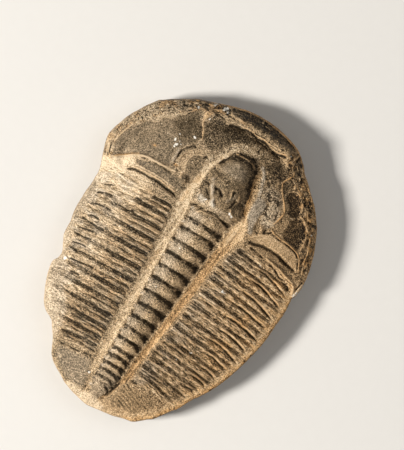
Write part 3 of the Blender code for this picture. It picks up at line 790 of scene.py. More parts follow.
HEAD_PATCHES = (
    # outer left border, then the smooth free cheek inside it, darker at its upper right, partly
    # dark shell and partly painted shade
    Patch((-14.8+5.2j, -14.8+9j, -12.8+13j, -9.5+15.8j, -7+16.6j, -7.2+14.6j, -9+13.4j,
        -10.6+11.3j, -12.6+9.6j, -13.4+7.2j, -13.2+5.4j), BUFF, 0.6),
    Patch((-13+5.6j, -13.4+6.5j, -13.4+7.5j, -13.1+8.5j, -12.7+9.5j, -12.2+10.2j, -11.5+10.8j,
        -10.95+11j, -10.5+11.4j, -10.4+12j, -9.8+12.3j, -9.3+12.8j, -9.1+13.3j, -8.5+13.9j,
        -8+14.35j, -7.2+14.75j, -6.95+14.2j, -6.6+13.4j, -6.1+12.8j, -5.9+12.2j, -6.2+11.5j,
        -6.7+10.9j, -7.1+10.3j, -7.25+9.4j, -7.2+8.6j, -7.3+7.9j, -9+7.6j, -10.2+7.3j, -11.2+6.8j,
        -12.1+6.1j), SLATE, 0.9, 0.12, 0.1, -0.06, 0.0, 0.35, 0.2, 0.0, 0.035),
    Patch((-9+13j, -8+14.2j, -7.2+14.6j, -6.6+13.4j, -6+12.4j, -6.8+11.3j, -8.6+11.6j), SHELL, 0.6,
        0.7, rough=0.15),
    # dark field in front of the glabella and beside it: dark shell, darkened further as painted
    # shade on its slope that faces away from the key lamp
    Patch((-5.9+15.3j, -4.9+15.1j, -4+14.8j, -3+15.2j, 0+15.1j, 3.3+14.6j, 4.3+14.2j, 4.3+13.3j,
        2.3+13j, 1.2+13.7j, -1+14.2j, -2.4+13.8j, -3.2+12.9j, -4+11.8j, -5.2+12j, -5.8+12.6j,
        -6.05+13.4j, -6+14.4j), SHELL, 0.96, 0.15, rough=0.52, lumps=0.03),
    Patch((-4.4+14.9j, -3.6+15.2j, -1.9+15.4j, -1.2+14.9j, -2.2+14.2j, -3.6+13.8j), INK, 0.72, 0.3,
        0.2, rough=0.4),
    Patch((-0.9+14.5j, 0+15j, 1.6+14.8j, 2.9+14.3j, 1.6+13.9j, 0.4+14.3j), WORN, 0.85, 0.3, 0.3,
        rough=0.7),
    Patch((-7.15+15.2j, -6.7+15.45j, -6.1+15.3j, -6.25+14.8j, -6.5+14.3j, -6.35+13.8j, -6+13.1j,
        -5.7+12.4j, -5.5+12j, -5.75+12.2j, -6.25+12.95j, -6.6+13.7j, -6.85+14.4j), SEDIMENT, 0.8,
        0.08, 0.05, 0.08, 0.3, 0.0, 0.7),
    # glabella: a dark arc round its front and right side painted as shade, and pale grey patches on
    # it, partly painted sheen
    Patch((-3.2+8j, -3.1+9.5j, -2.8+10.8j, -2.3+11.8j, -1.7+12.9j, -0.8+13.3j, 0.3+13.1j, 1+12.6j,
        1.35+11.6j, 1.65+10.5j, 2+9.5j, 2.15+8.4j, 2.5+7.2j, 2+6.3j, 0+6.1j, -2.2+6.2j, -3.2+7j),
        SLATE, soft=0.2, rough=0.2, lumps=0.1),
    Patch((-2+12.4j, -1.5+13.1j, 0.2+13.35j, 1.1+12.8j, 1.55+11.6j, 1.7+10.3j, 1.1+10.2j, 1+11.2j,
        0.5+12.1j, -0.6+12.3j, -1.5+12j), SHELL, 0.95, 0.25, 0.3, rough=0.75, crack=0.5,
        crumbs=0.8),
    Patch((-3.1+8.5j, -3+10j, -1.6+10.1j, -0.2+9.9j, 0.1+9.3j, -0.6+8.6j, -1.8+8.5j), SHELL, 0.35,
        0.3, 0.3, rough=0.35),
    Patch((-3+8.3j, -2.5+8.35j, -1.9+7.8j, -1.4+7.1j, -1.7+6.95j, -2.4+7.2j, -3+7.7j), SHELL, 0.85,
        0.12, 0.1, -0.16, rough=0.4),
    Patch((1.1+8.1j, 1.5+8.5j, 2+8.3j, 2.3+7.7j, 2.55+7.1j, 2.1+7.05j, 1.6+7.35j, 1.1+7.5j), SHELL,
        0.9, 0.2, 0.2, 0.1, rough=0.45, lumps=0.08),
    Patch((-2.3+10.6j, -1.8+11.6j, -0.8+12.1j, 0.3+11.8j, 0.7+10.8j, -0.2+10.3j, -1.4+10.4j), WORN,
        0.6, 0.5, 0.15, 0.0, 0.0, 0.5, 0.1),
    Patch((-3.1+6.3j, -3.2+7.4j, -2.6+7.6j, -2+6.9j, -0.4+6.9j, 1+6.8j, 1.9+6.2j, 0+6.05j), BUFF,
        0.75, 0.3, cool=0.3),
    # left eye region
    Patch((-6.5+8.2j, -6.6+9.6j, -6+10.7j, -4.6+11.5j, -4.2+11.2j, -4.4+10.6j, -5.4+10.2j,
        -5.6+9.2j, -5.2+8.2j, -5.5+7.7j), BUFF, 0.8, 0.15, rust=0.08),
    Patch((-5.45+10.2j, -4.8+10.5j, -4.15+10.55j, -4.05+9.5j, -4.15+8.6j, -4.6+8.1j, -5.1+8.3j,
        -5.5+9.2j), SLATE, 0.85, 0.1, 0.08, rough=0.4),
    Patch((-5.5+7.55j, -5.3+7.9j, -4.95+8j, -4.6+7.75j, -4.55+7.35j, -4.85+7.1j, -5.3+7.2j), SHELL,
        0.75, 0.08, 0.04, 0.16),
    # rear border, left and right
    Patch((-10.5+6.5j, -9.6+6.95j, -8.7+7.25j, -6.5+7.3j, -5.3+7.15j, -4.7+6.7j, -4.9+6.15j,
        -7+6.1j, -9.5+6.1j, -10.3+6.25j), SLATE, 1.0, 0.12, 0.12, 0.07, 0.0, 0.3, 0.15, 0.0, 0.03),
    Patch((4.5+6.15j, 5.3+7j, 6.2+7.6j, 8+7.4j, 9.8+7j, 10.4+6.4j, 10.95+5.5j, 10+5.65j, 8+6.1j,
        6+6.1j), SEDIMENT, 0.72, 0.12, 0.06, 0.12, rough=0.35),
    # pale left corner, painted as a highlight where it faces the key lamp
    Patch((-14+5.1j, -13.1+5.3j, -12.2+5.9j, -11.3+6.6j, -10.6+6.3j, -11+5.4j, -10.8+4.7j,
        -12.4+3.9j, -13.5+3.3j), CREAM, 0.9, 0.25, 0.1, 0.05),
    # right side: grey strip, specks, dark scraps of cheek, pale ground between them
    Patch((2.8+10.2j, 2.8+9j, 2.95+7.9j, 3.4+7.2j, 4+6.3j, 4.45+6.4j, 4.1+7.2j, 4.1+8.5j, 4.1+9.8j,
        3.5+10.3j), WORN, 0.95, 0.12, 0.06, 0.06, 0.0, 1.0, 0.3, 0.0, 0.05),
    Patch((4.35+7.7j, 4.3+10j, 4.9+10.5j, 5.8+9.9j, 5.95+8.5j, 5.3+7.8j), SEDIMENT, 0.85, 0.25,
        0.2, 0.0, 0.0, 0.5, 1.0, 0.0, 0.1, 0.95),
    Patch((2.3+12.3j, 2.7+12.95j, 4.1+13.2j, 4.2+12j, 3.4+11.6j, 2.6+11.8j), SHELL, 0.45, 0.25,
        0.35, rough=1.0, lumps=0.16, crumbs=1.1),
    Patch((4.2+12.6j, 4.8+13.7j, 5.6+13.2j, 5.4+12.3j, 4.9+12j), SHELL, 0.7),
    Patch((2.9+10.3j, 3+11.5j, 4.2+11.9j, 5.2+11.3j, 5.6+10.6j, 4.6+10.2j), WORN, 0.5, 0.25, 0.2,
        0.0, 0.0, 0.4, 1.0, 0.0, 0.08, 0.9),
    Patch((5.45+12.2j, 5.7+12.6j, 6.4+12.65j, 7+12.35j, 7.35+11.9j, 7.6+11.2j, 7.75+10.75j,
        7.4+10.35j, 6.9+10.25j, 6.45+10.3j, 6.35+11j, 5.9+11.45j, 5.5+11.75j), INK, 0.8, 0.06,
        0.08, -0.05, 0.3, 0.0, 0.42, 0.24, 0.04),
    Patch((7.2+9.95j, 7.6+10.35j, 8.1+10.6j, 8.7+10.4j, 9.1+10j, 9.4+9.4j, 9.6+8.5j, 9.62+7.62j,
        8.8+7.7j, 8+7.8j, 7.35+7.95j, 7.2+9j), INK, 0.7, 0.07, 0.08, -0.05, 0.3, 0.0, 0.5, 0.14,
        0.05),
    Patch((8.7+10.2j, 9.15+9.8j, 9.5+9j, 9.58+7.75j, 9.1+7.8j, 9.1+8.8j, 8.6+9.7j), INK, 0.35,
        0.12, 0.15, rough=0.7, crack=0.4),
)

HEAD_LINES = (
    # cracks and crest of the front border, and a broad dark band of painted shade on its outer
    # slope
    Line((-6+15.45j, -5.2+15.4j, -4.7+15.3j, -4.4+15j), 0.09, -0.2, INK, 0.8, 0.4),
    Line((-4.1+14.95j, -3.6+15.25j, -3+15.4j, -2.3+15.45j), 0.13, -0.26, INK, 0.85, 0.3),
    Line((-2.6+15.5j, -1.6+15.65j, -0.6+15.5j, 0.3+15.55j, 1+15.35j, 1.9+15.15j, 2.8+15.38j,
        3.3+15.45j), 0.11, -0.24, INK, 1.0, 0.2),
    Line((-1.2+15.25j, 0.2+15.25j, 1.1+15.1j, 2+14.95j, 2.8+15j, 3.3+14.8j), 0.11, -0.18, INK,
        0.75, 0.7),
    Line((-1.5+15.85j, 0+15.9j, 1.4+15.95j, 2.6+15.9j), 0.07, -0.08, SHELL, 0.6, 0.8),
    Line((-5.2+15.8j, -3.4+15.75j, -1.4+15.85j, 1.4+15.75j, 3.4+15.9j), 0.12, 0.06, SEDIMENT, 0.6),
    Line((-2.6+15.75j, -1.6+15.88j, -0.6+15.75j, 0.3+15.8j, 1+15.6j, 1.9+15.4j, 2.8+15.6j,
        3.4+15.7j), 0.09, 0.06, CREAM, 0.9, 0.3, 0.3),
    Line((-4.6+16.3j, -2+16.45j, 1+16.4j, 3.2+16.2j), 0.3, 0.28, WORN, 0.5),
    Line((-4.6+16.9j, -2.5+17.2j, 0+17.3j, 2+17.05j, 3.5+16.6j), 0.3, 0.0, SHELL, 0.8),
    Line((-6.2+16.55j, -3.9+17.3j, -2+17.6j, 0+17.6j, 2+17.3j, 3.6+16.8j), 0.06, 0.04, SEDIMENT,
        0.8, 0.3, 0.6),
    Line((-4.4+16.9j, -2+17.42j, 0+17.42j, 2+17.12j, 3.5+16.7j), 0.07, -0.06, INK, 0.7, 0.6),
    Line((-9.3+14.7j, -8.6+14.9j, -8+14.85j, -7.3+15.1j, -6.8+15j), 0.1, 0.06, CREAM, 0.8, 0.3),
    Line((-6.9+15.2j, -6.3+15.6j, -5.7+15.95j, -5.1+16.35j), 0.1, 0.08, CREAM, 0.85, rust=0.2),
    Line((-8.3+15.75j, -7.3+16.1j, -6.4+16.5j), 0.09, -0.1, INK, 0.8, 0.6),
    Line((-9.8+15j, -8.7+15.35j, -7.6+15.6j, -6.7+15.75j), 0.09, -0.1, INK, 0.75, 0.6),
    Line((-8.7+15.3j, -7.9+15.75j, -7+15.9j, -6.2+16.2j, -5.4+16.6j), 0.06, 0.05, SEDIMENT, 0.8,
        0.4, 0.8),
    Line((4.15+16.6j, 4.1+16.1j, 3.95+15.5j, 4+15.1j), 0.08, 0.06, SEDIMENT, 0.8),
    Line((4.4+16.5j, 4.3+15.9j, 4.25+15.4j), 0.06, -0.1, INK, 0.7),
    # behind the head on the left
    Line((-10.95+5.15j, -10.2+5.45j, -9+5.6j, -7.4+5.7j, -6+5.6j, -4.7+5.45j), 0.12, -0.3, INK,
        1.0, 0.1),
    Line((-10.3+6.9j, -9.5+7.2j, -8+7.3j, -6.3+7.3j), 0.06, -0.12, INK, 0.6, 0.4),
    Line((-10.4+5.75j, -9+5.9j, -7.4+5.98j, -6+5.88j, -4.9+5.75j), 0.1, 0.07, CREAM, 0.95, 0.15,
        0.2),
    Line((-10.3+6.1j, -8.8+6.22j, -7+6.22j, -5.3+6.1j), 0.08, 0.04, SEDIMENT, 0.7),
    Line((-13.15+5.3j, -12.3+5.9j, -11.4+6.6j, -10.5+7.1j, -9.5+7.42j, -8+7.52j, -6.8+7.6j,
        -6+7.75j), 0.15, 0.2, CREAM, 0.95),
    Line((-13+5.5j, -12.2+6.1j, -11.3+6.85j, -10.5+7.3j), 0.08, -0.08, WORN, 0.7, rust=0.6),
    # left free cheek: outer edge and facial suture
    Line((-13.6+6.6j, -13.55+7.4j, -13.4+8.2j, -13.15+9.1j, -12.8+9.8j, -12.5+10.3j), 0.12, 0.08,
        CREAM, 0.9, 0.2, 0.1),
    Line((-11.8+11.5j, -11.5+11.25j, -11.15+11.1j, -10.7+11.35j, -10.55+12j, -9.95+12.35j,
        -9.5+12.75j, -9.3+13.25j, -8.7+13.5j, -8.45+14j), 0.09, 0.08, CREAM, 0.7),
    Line((-12.1+12.6j, -11.4+12.2j, -11.2+12.7j, -10.7+12.9j), 0.08, 0.05, CREAM, 0.5),
    Line((-8.7+14.4j, -9.1+14.45j, -9.5+14.3j), 0.09, -0.1, INK, 0.7),
    Line((-14.1+6.2j, -14.15+7.4j, -13.95+8.8j, -13.4+10.2j, -12.4+11.9j), 0.06, -0.06, SLATE,
        0.7),
    Line((-13.85+6.3j, -13.85+7.6j, -13.6+8.9j, -13.1+10j, -12+11.6j), 0.05, -0.05, SLATE, 0.7),
    Line((-6.9+13.7j, -6.4+13.2j, -6.05+12.6j, -5.75+12.2j), 0.06, -0.1, INK, 0.7, 0.8),
    Line((-5.8+11.25j, -6.2+10.95j, -6.6+10.5j, -6.85+10j, -6.9+9.4j, -6.8+8.7j), 0.08, -0.22, INK,
        0.8, 0.5),
    Line((-4.9+11.25j, -5.5+11.05j, -6+10.6j, -6.4+9.9j, -6.55+9.2j, -6.4+8.4j), 0.08, 0.08, CREAM,
        0.75, 0.4),
    Line((-7.3+7.65j, -6.7+7.95j, -6.2+8.1j, -5.7+7.95j), 0.1, 0.08, CREAM, 0.7, 0.4),
    Line((-5.75+11.2j, -5.9+11.05j), 0.16, -0.15, taper=0.05),
    Line((-6.2+10.2j, -6.45+9.5j, -6.5+8.7j), 0.05, -0.08, SHELL, 0.6, 0.8, 0.5),
    Line((-7.35+10.2j, -7.2+9.5j, -7.15+8.8j, -6.95+8.3j), 0.2, 0.12, BUFF, 0.6, cool=0.7),
    Line((-6.4+8.35j, -6.8+8.3j, -6.3+8.15j), 0.08, -0.05, WORN, 0.6, rust=0.8),
    Line((-4.35+10.9j, -4.2+10.6j), 0.22, -0.08, SHELL, 0.8, taper=0.05),
    Line((-4.2+11.1j, -4.6+10.75j, -5.2+10.55j, -5.7+9.8j, -5.7+9j, -5.4+8.3j, -5.7+7.9j), 0.09,
        0.1, CREAM, 0.8, 0.3),
    Line((-5.5+7.4j, -5.2+7.1j, -4.75+7j), 0.07, -0.1, INK, 0.7, 0.3),
    # sediment round the front of the glabella
    Line((-3.9+10.2j, -3.45+11.3j, -2.8+12.5j, -2.1+13.4j, -1.1+13.85j, 0+13.9j, 1+13.6j), 0.38,
        -0.05, BUFF, rough=1.0),
    Line((-3.6+9j, -3.6+10.4j, -3.3+11.4j), 0.4, 0.0, SEDIMENT, 0.8, soft=True),
    Line((1+13.5j, 1.45+12.8j, 1.75+12j, 1.95+11j, 2.3+10j, 2.5+9j, 2.65+8j, 2.95+7.2j), 0.24,
        -0.06, BUFF, 0.8, 0.0, 0.3, 0.0, 1.0, True),
    Line((1.3+13.3j, 1.95+12.7j, 2.4+11.8j, 2.7+10.8j, 2.85+10.1j), 0.2, 0.08, BUFF, 0.8,
        cool=0.9),
    # glabella: front edge, dark right side painted as shade, pits and lobes, and pale grey ridges
    # painted as highlights
    Line((-2.6+11.3j, -2.25+11.8j, -1.95+12.5j, -1.6+13.05j, -0.8+13.2j, 0.1+13.35j, 0.8+13.1j),
        0.11, -0.16, INK, 1.0, 0.45),
    Line((-1.75+12.85j, -1+12.92j, -0.2+12.93j, 0.6+12.72j, 1.1+12.3j), 0.1, 0.12, CREAM, 1.0,
        0.15, 0.4),
    Line((-1.8+12.55j, -1+12.68j, -0.2+12.68j, 0.5+12.5j, 0.95+12.1j), 0.13, -0.1, INK, 0.7, 0.5),
    Line((-2.75+10.9j, -2.5+11.3j, -2.1+11.6j), 0.14, -0.16, broken=0.3),
    Line((0.9+12.7j, 1.3+12.1j, 1.4+11.3j, 1.55+10.6j, 1.75+9.9j, 2+9.3j), 0.2, 0.04, INK, 0.78,
        0.8),
    Line((1.95+9.6j, 2+8.9j, 2.3+8j, 2.6+7.2j, 2.6+6.7j), 0.09, -0.08, INK, 0.62, 0.9),
    Line((1.25+12.2j, 1.6+11.4j, 1.75+10.6j, 1.95+9.9j, 2.2+9.2j, 2.4+8.3j, 2.65+7.6j), 0.22, 0.05,
        BUFF, 0.7, 0.5, 0.75, 0.0, 1.0, True),
    Line((-2.9+10.35j, -2.3+10.2j, -1.6+10j, -0.9+9.9j, -0.3+9.8j), 0.26, -0.2, SHELL, 0.95,
        rough=0.7, soft=True),
    Line((-3.1+8.45j, -2.7+8.52j, -2.25+8.4j), 0.09, -0.3, INK, 1.0),
    Line((-1.75+8.4j, -1.2+8.57j, -0.8+8.38j, -0.35+8.02j), 0.12, -0.32, INK, 1.0),
    Line((-1.5+8.2j, -1+8.2j, -0.5+7.8j), 0.26, -0.12, SHELL, soft=True),
    Line((-2.6+9.35j, -2.3+9.1j, -2+8.5j, -1.75+8.15j, -1.6+7.7j, -1.2+7.3j, -1.1+6.9j, -0.5+6.6j),
        0.25, 0.26, SEDIMENT, 0.85, 0.4, cool=0.95, soft=True),
    Line((-2+8.45j, -1.75+8j, -1.55+7.55j), 0.09, 0.04, SEDIMENT, 0.7, 0.4, cool=0.9),
    Line((-2.35+7.9j, -1.95+7.5j, -1.6+7.2j, -1.35+6.95j), 0.09, -0.2, INK, 0.85, 0.3),
    Line((0.7+7.3j, 0.95+7.8j, 1+8.3j, 1.4+8.55j), 0.08, -0.14, SHELL, 0.8, 0.6),
    Line((1+8.75j, 1.45+8.6j, 1.95+8.65j, 2.1+8.3j), 0.12, 0.08, BUFF, 0.5, 0.4, cool=0.3,
        soft=True),
    Line((0.1+7.8j, 0.45+8.3j, 0.65+8.8j, 0.45+9.3j), 0.2, 0.08, BUFF, 0.4, 0.6, cool=0.5,
        soft=True),
    Line((0.35+8.2j, 0.3+8.7j, 0.05+9.1j, 0.3+9.45j, 0.75+9.45j), 0.1, 0.14, SEDIMENT, 0.9, 0.3),
    Line((0.5+8.6j, 0.45+9.1j, 0.75+9.2j), 0.13, -0.16, SHELL, 1.0, 0.3),
    Line((0.95+9.3j, 1.2+8.9j, 1.25+8.4j, 1.1+8j), 0.1, 0.12, BUFF, 0.8, 0.5, 0.3),
    Line((1.05+7.6j, 1.2+7.2j, 1.7+6.9j, 2.3+6.85j), 0.1, 0.14, CREAM, 0.8, 0.3),
    Line((-2.8+7.1j, -2.3+6.7j, -1.8+6.9j), 0.4, 0.1, BUFF, 0.5, cool=0.9, soft=True),
    # occipital furrow and ring
    Line((-2.85+5.75j, -2+5.87j, -1.2+5.95j), 0.1, -0.12, INK, 0.8, 0.5),
    Line((0.45+5.9j, 1.2+5.72j, 1.95+5.5j), 0.11, -0.15, INK, 0.85, 0.5),
    Line((-1.2+5.97j, -0.3+6.03j, 0.5+5.9j), 0.07, -0.08, SHELL, 0.8),
    Line((-2.15+5j, -1.6+5.5j, -0.8+5.7j, 0.2+5.77j, 1+5.62j, 1.7+5.35j), 0.08, 0.06, CREAM, 0.8),
    Line((-1.7+3.95j, -0.6+4.22j, 0.4+4.2j, 1.2+3.9j), 0.07, -0.05, SHELL, 0.6, 0.5),
    # painted highlight: a pale grey spot at the left end of the occipital ring
    Line((-2.7+5.5j, -2.3+5.25j), 0.16, 0.04, BUFF, 0.6, cool=0.9, taper=0.05),
    # right: suture, cheeks and rear border
    Line((4.6+14.75j, 4.85+14.2j, 4.5+13.4j, 4.3+12.9j, 4.6+12.3j, 5+11.8j, 5.6+11.1j, 6+10.5j,
        6.2+10j, 6.1+9.5j, 5.9+8.8j, 5.75+8.4j), 0.08, 0.12, SEDIMENT, 0.9, 0.3, 0.8),
    Line((5.3+12.1j, 5.45+12.5j, 5.9+12.82j, 6.6+12.8j, 7.2+12.45j, 7.55+11.8j, 7.85+11.1j), 0.07,
        0.06, CREAM, 0.75, 0.3, 0.3),
    Line((7.7+10.85j, 8.2+10.78j, 8.7+10.55j, 9.2+10.1j, 9.55+9.8j), 0.09, 0.08, CREAM, 0.85, 0.2),
    Line((9.6+9.6j, 9.7+9j, 9.8+8.3j, 9.8+7.5j), 0.09, 0.06, SEDIMENT, 0.75, 0.5),
    *(Line(points, 0.06, 0.05, SEDIMENT, 0.75, 0.8, 0.8) for points in ((4.9+14.15j, 5.4+13.9j,
        5.9+13.4j, 6.6+12.98j, 7.5+12.65j, 8.2+12.2j), (6.5+13.3j, 7.3+12.95j, 7.9+12.85j),
        (8.3+11.9j, 8.9+11.2j, 9.5+10.4j), (10+9.6j, 10.4+8.8j, 10.7+7.9j, 10.9+6.8j), (10.6+8.9j,
        11+7.8j, 11.3+6.6j, 11.45+5.4j))),
    Line((6.9+10.12j, 7.2+10.1j, 7.5+10.25j), 0.06, 0.04, CREAM, 1.0, cool=0.8),
    Line((5.9+7.95j, 6.6+7.72j, 7.5+7.62j, 8.5+7.55j, 9.5+7.35j, 10.1+7j, 10.6+6.3j, 11+5.6j),
        0.08, 0.1, SEDIMENT, 0.9, 0.3, 0.75),
    Line((6.2+7.55j, 7.5+7.45j, 8.5+7.38j, 9.45+7.2j, 10+6.85j, 10.45+6.2j, 10.8+5.6j), 0.07, -0.1,
        SHELL, 0.7, 0.4, 0.5),
    Line((5.3+7.1j, 5.9+7.45j, 6.3+7.85j), 0.13, -0.12, SHELL, 0.7),
    Line((4.4+7.9j, 4.32+7.35j, 4.6+6.85j, 5.1+6.7j), 0.08, -0.1, SHELL, 0.7, 0.4),
    Line((5.35+7.75j, 5.5+7.3j, 5.3+6.95j), 0.09, -0.12, INK, 0.75, 0.2),
    Line((4.2+10.2j, 4.2+9.4j, 4.15+8.4j), 0.06, -0.08, SHELL, 0.6, 0.7),
    Line((4.3+11.7j, 4.4+10.6j, 4.35+9.6j, 4.35+8.6j), 0.12, -0.05, BUFF, 0.5),
    Line((5.2+10.2j, 5.1+9.4j, 5.25+8.6j), 0.12, 0.06, SEDIMENT, 0.5, cool=0.5),
    Line((5.6+10j, 5.65+9.3j, 5.8+8.7j), 0.12, -0.08, SHELL, 0.6, cool=0.5),
    Line((4.4+5.5j, 5.2+5.62j, 6.2+5.9j, 7.5+5.95j, 8.5+5.82j, 9.5+5.6j, 10.6+5.4j), 0.17, -0.24,
        INK, 0.85, 0.25),
    Line((4.3+4.95j, 5.2+5.1j, 6.2+5j, 7+4.8j), 0.12, -0.16, INK, 0.75, 0.7),
    Line((7+5.05j, 8+4.88j, 9+4.72j, 10.3+4.45j, 11.2+4.1j, 11.6+3.5j, 11.6+3j), 0.12, 0.2, CREAM,
        0.85),
    Line((7.6+4.65j, 8.5+4.45j, 9.1+4.15j, 9.8+3.9j), 0.1, -0.16, broken=0.4),
    Line((9.6+4.05j, 10.2+3.95j, 10.7+3.65j, 11.1+3.2j), 0.17, -0.2, INK, 0.85, 0.45),
    Line((11.95+5j, 11.82+4.3j, 11.72+3.7j), 0.06, -0.12, INK, 0.8),
    Line((6.6+3.75j, 7.6+3.6j, 8.6+3.25j, 9.6+2.85j), 0.07, 0.06, CREAM, 0.7),
    # streaks on the sediment right of the neck
    Line((2.42+3.8j, 2.5+4.6j, 2.75+5.7j), 0.05, 0.03, CREAM, 1.0),
    Line((2.65+4j, 2.78+4.8j, 3+5.6j), 0.05, 0.03, CREAM),
    Line((2.3+4.1j, 2.35+4.7j), 0.05, 0.02, CREAM, 0.8),
)

# painted highlight: the genal stub on the right rim is painted pale, with white specks in SPECKS,
# as a lit facet
GENAL_STUB = Patch((11.75+3j, 12.15+2.95j, 12.3+4j, 12.25+5j, 11.95+4.6j, 11.85+3.8j), CREAM, 0.9,
    0.08, 0.03, 0.12, 0.2, 0.3)

SPECKS = (
    Speck(-8.05, 11.4, 0.14), Speck(-8.15, 10.7, 0.2), Speck(-7.6, 10.75, 0.12),
    Speck(-7.35, 10.5, 0.1), Speck(-7.75, 10.25, 0.12), Speck(-7.85, 9.9, 0.12),
    Speck(-6.4, 11.9, 0.1), Speck(-5.1, 16.5, 0.24), Speck(-4.9, 16.15, 0.16),
    Speck(-6.35, 16.5, 0.14), Speck(-7.9, 14.95, 0.2), Speck(-6.15, 14.5, 0.07),
    Speck(3.45, 15.85, 0.12), Speck(0.3, 15.7, 0.08, rust=0.9, mineral=0.3),
    Speck(-11.4, -6.7, 0.2), Speck(-2.45, -15.8, 0.13), Speck(7.6, 2.95, 0.11),
    Speck(7.0, 4.0, 0.13), Speck(5.0, -0.6, 0.14), Speck(1.15, 7.0, 0.18),
    Speck(1.5, 6.75, 0.14), Speck(-1.85, 6.9, 0.13), Speck(9.98, 9.8, 0.09),
    Speck(-9.6, 8.9, 0.2, 0.06, 0.1, 1.0), Speck(-10.2, -9.0, 0.1),
    Speck(-9.5, -8.4, 0.14, mineral=0.8), Speck(-8.7, -7.7, 0.1), Speck(-5.1, -5.2, 0.12),
    Speck(-5.0, 7.6, 0.42, 0.28, 0.0), Speck(5.0, 7.45, 0.4, 0.28, 0.0, 0.15),
    # the specks near x 12 whiten the genal stub as part of its painted highlight
    Speck(12.02, 3.5, 0.3, 0.0, 0.75), Speck(12.1, 4.1, 0.3, 0.0, 0.7),
    Speck(12.1, 4.6, 0.25, 0.0, 0.5), Speck(5.85, 9.0, 0.1, mineral=0.8),
    Speck(5.75, -8.05, 0.11), Speck(4.8, -9.5, 0.08), Speck(-3.4, -17.6, 0.08),
    Speck(-4.1, 17.0, 0.1, mineral=0.7), Speck(-1.3, -4.0, 0.11), Speck(-1.7, -4.9, 0.09),
    Speck(-0.4, -1.4, 0.08), Speck(-0.3, 5.4, 0.12), Speck(-1.5, -8.6, 0.09),
    Speck(-0.9, -10.3, 0.09), Speck(-1.4, 0.9, 0.08), Speck(-7.1, 0.1, 0.10),
    Speck(-8.2, -0.5, 0.09), Speck(-9.8, -4.0, 0.12), Speck(-5.8, -4.6, 0.08),
)


@dataclass(frozen=True)
class HeadShield:
    """The cephalon: raised border, its furrow, cheeks, eye lobes and glabella marks."""

    start: float = 4.6
    border_height: float = 0.3
    border_inset: float = 1.15
    border_width: float = 0.75
    furrow_depth: float = 0.25
    furrow_inset: float = 2.35
    furrow_width: float = 0.5

    def shape(self, relief: Relief) -> None:
        """Raise the border and cut its furrow, then lay the patches and lines."""
        x, y = relief.waver_x, relief.waver_y
        on_head = ease(y - self.start)
        relief_share = on_head * (1.0 - 0.75 * ease((x - 2.5) / 3.0))
        relief.height += relief_share * self.border_height * stripe(
            relief.edge, self.border_inset, self.border_width)
        relief.height -= relief_share * self.furrow_depth * stripe(
            relief.edge, self.furrow_inset, self.furrow_width)
        for patch in HEAD_PATCHES:
            relief.fill(patch)
        self.roughen(relief, x, y, on_head)
        for line in HEAD_LINES:
            relief.draw(line)

    def roughen(self, relief: Relief, x: Array, y: Array, on_head: Array) -> None:
        """Give the border its crumbly, speckled crust, darkened as painted shade on its top, front
        and right slopes, which face away from the key lamp.
        """
        width = np.interp(np.arctan2(y - 6.0, x), (-0.3, 0.6, 1.1, 1.3, 1.9, 2.1, 2.5, 3.2),
                          (1.3, 1.9, 1.9, 1.7, 1.7, 1.3, 1.9, 1.1))
        crust = on_head * ease((width - relief.edge + 0.25 * relief.breaks) / 0.35)
        lumps = Grain(71).layers(x, y, 0.5)
        arc = 14.0 * np.arctan2(y - 4.0, x)
        winding = Grain(79).layers(arc, relief.edge, 0.55, 2, stretch=4.5)
        vein = stripe(winding, 0.0, 0.10) * crust * ease(0.8 + 1.5 * relief.breaks)
        seam = stripe(winding, 0.22, 0.07) * crust * ease(0.6 + 1.5 * relief.breaks)
        relief.at_least(crest=0.95 * vein, crack=0.78 * seam)
        relief.height += 0.06 * vein - 0.06 * seam + 0.08 * crust * lumps
        shaded = ease((x + 0.8 * y - 10.0) / 6.0)
        shaded_top = ease((y - 12.0) / 3.0) * ease((3.5 - x) / 3.0)
        leftmost = ease((-12.5 - x) / 1.5)
        outer_left = ease((-x - 8.5) / 2.0)
        even = ease((x + 4.5) / 1.5) * ease((y - 15.8) / 0.4)
        # painted shade: the right side (shaded), the top and the smooth front band (even) are
        # darkened, as they face away from the key lamp
        relief.tone += crust * (0.20 * lumps - 0.02 - 0.30 * shaded_top - 0.07 * (shaded + leftmost)
                                - 0.05 * outer_left - 0.17 * even * ease((2.5 - x) / 3.0))
        relief.rough += 0.32 * crust * (1.0 - 1.4 * even)
        stain = ease(0.4 + 2.0 * Grain(73).layers(x, y, 0.6))
        relief.at_least(rust=crust * stain * (0.30 + 0.15 * shaded + 0.2 * shaded_top))
        calm = (1.0 - 0.7 * even) * (1.0 - 0.45 * outer_left)
        relief.crumble_up(0.9 * crust * calm, 75)


@dataclass(frozen=True)
class TailShield:
    """The pygidium: two smooth fans with faint ribs, and the pale rim behind them."""

    # side, y where the fan starts on the axis, slope outward, rib spacing and strength
    fans: tuple[tuple[float, ...], ...] = ((1.0, -13.7, 0.26, 0.38, 0.17),
                                           (-1.0, -14.6, 0.12, 0.50, 0.06))

    def shape(self, relief: Relief) -> None:
        """Lay the fans' patches, their faint parallel ribs and the lines."""
        for patch in TAIL_PATCHES:
            relief.fill(patch)
        x, y = relief.waver_x, relief.waver_y
        for side, start, slope, spacing, strength in self.fans:
            out = side * x
            along = y + slope * out + 0.016 * out ** 2
            fan = (ease((start - along) / 0.4) * ease((out - 1.3) / 0.5)
                   * ease((relief.edge - 0.9) / 0.6))
            wave = np.cos(2.0 * math.pi * (along / spacing + 0.45 * Grain(65).layers(x, y, 1.5, 2)))
            patchy = 1.0 + 0.5 * Grain(66).layers(x, y, 0.7, stretch=2.0)
            relief.tone += 0.5 * strength * wave * patchy * fan
            relief.height += 0.25 * strength * wave * patchy * fan
            relief.at_least(crack=3.0 * strength * ease(-wave) * patchy * fan)
        for line in TAIL_LINES:
            relief.draw(line)


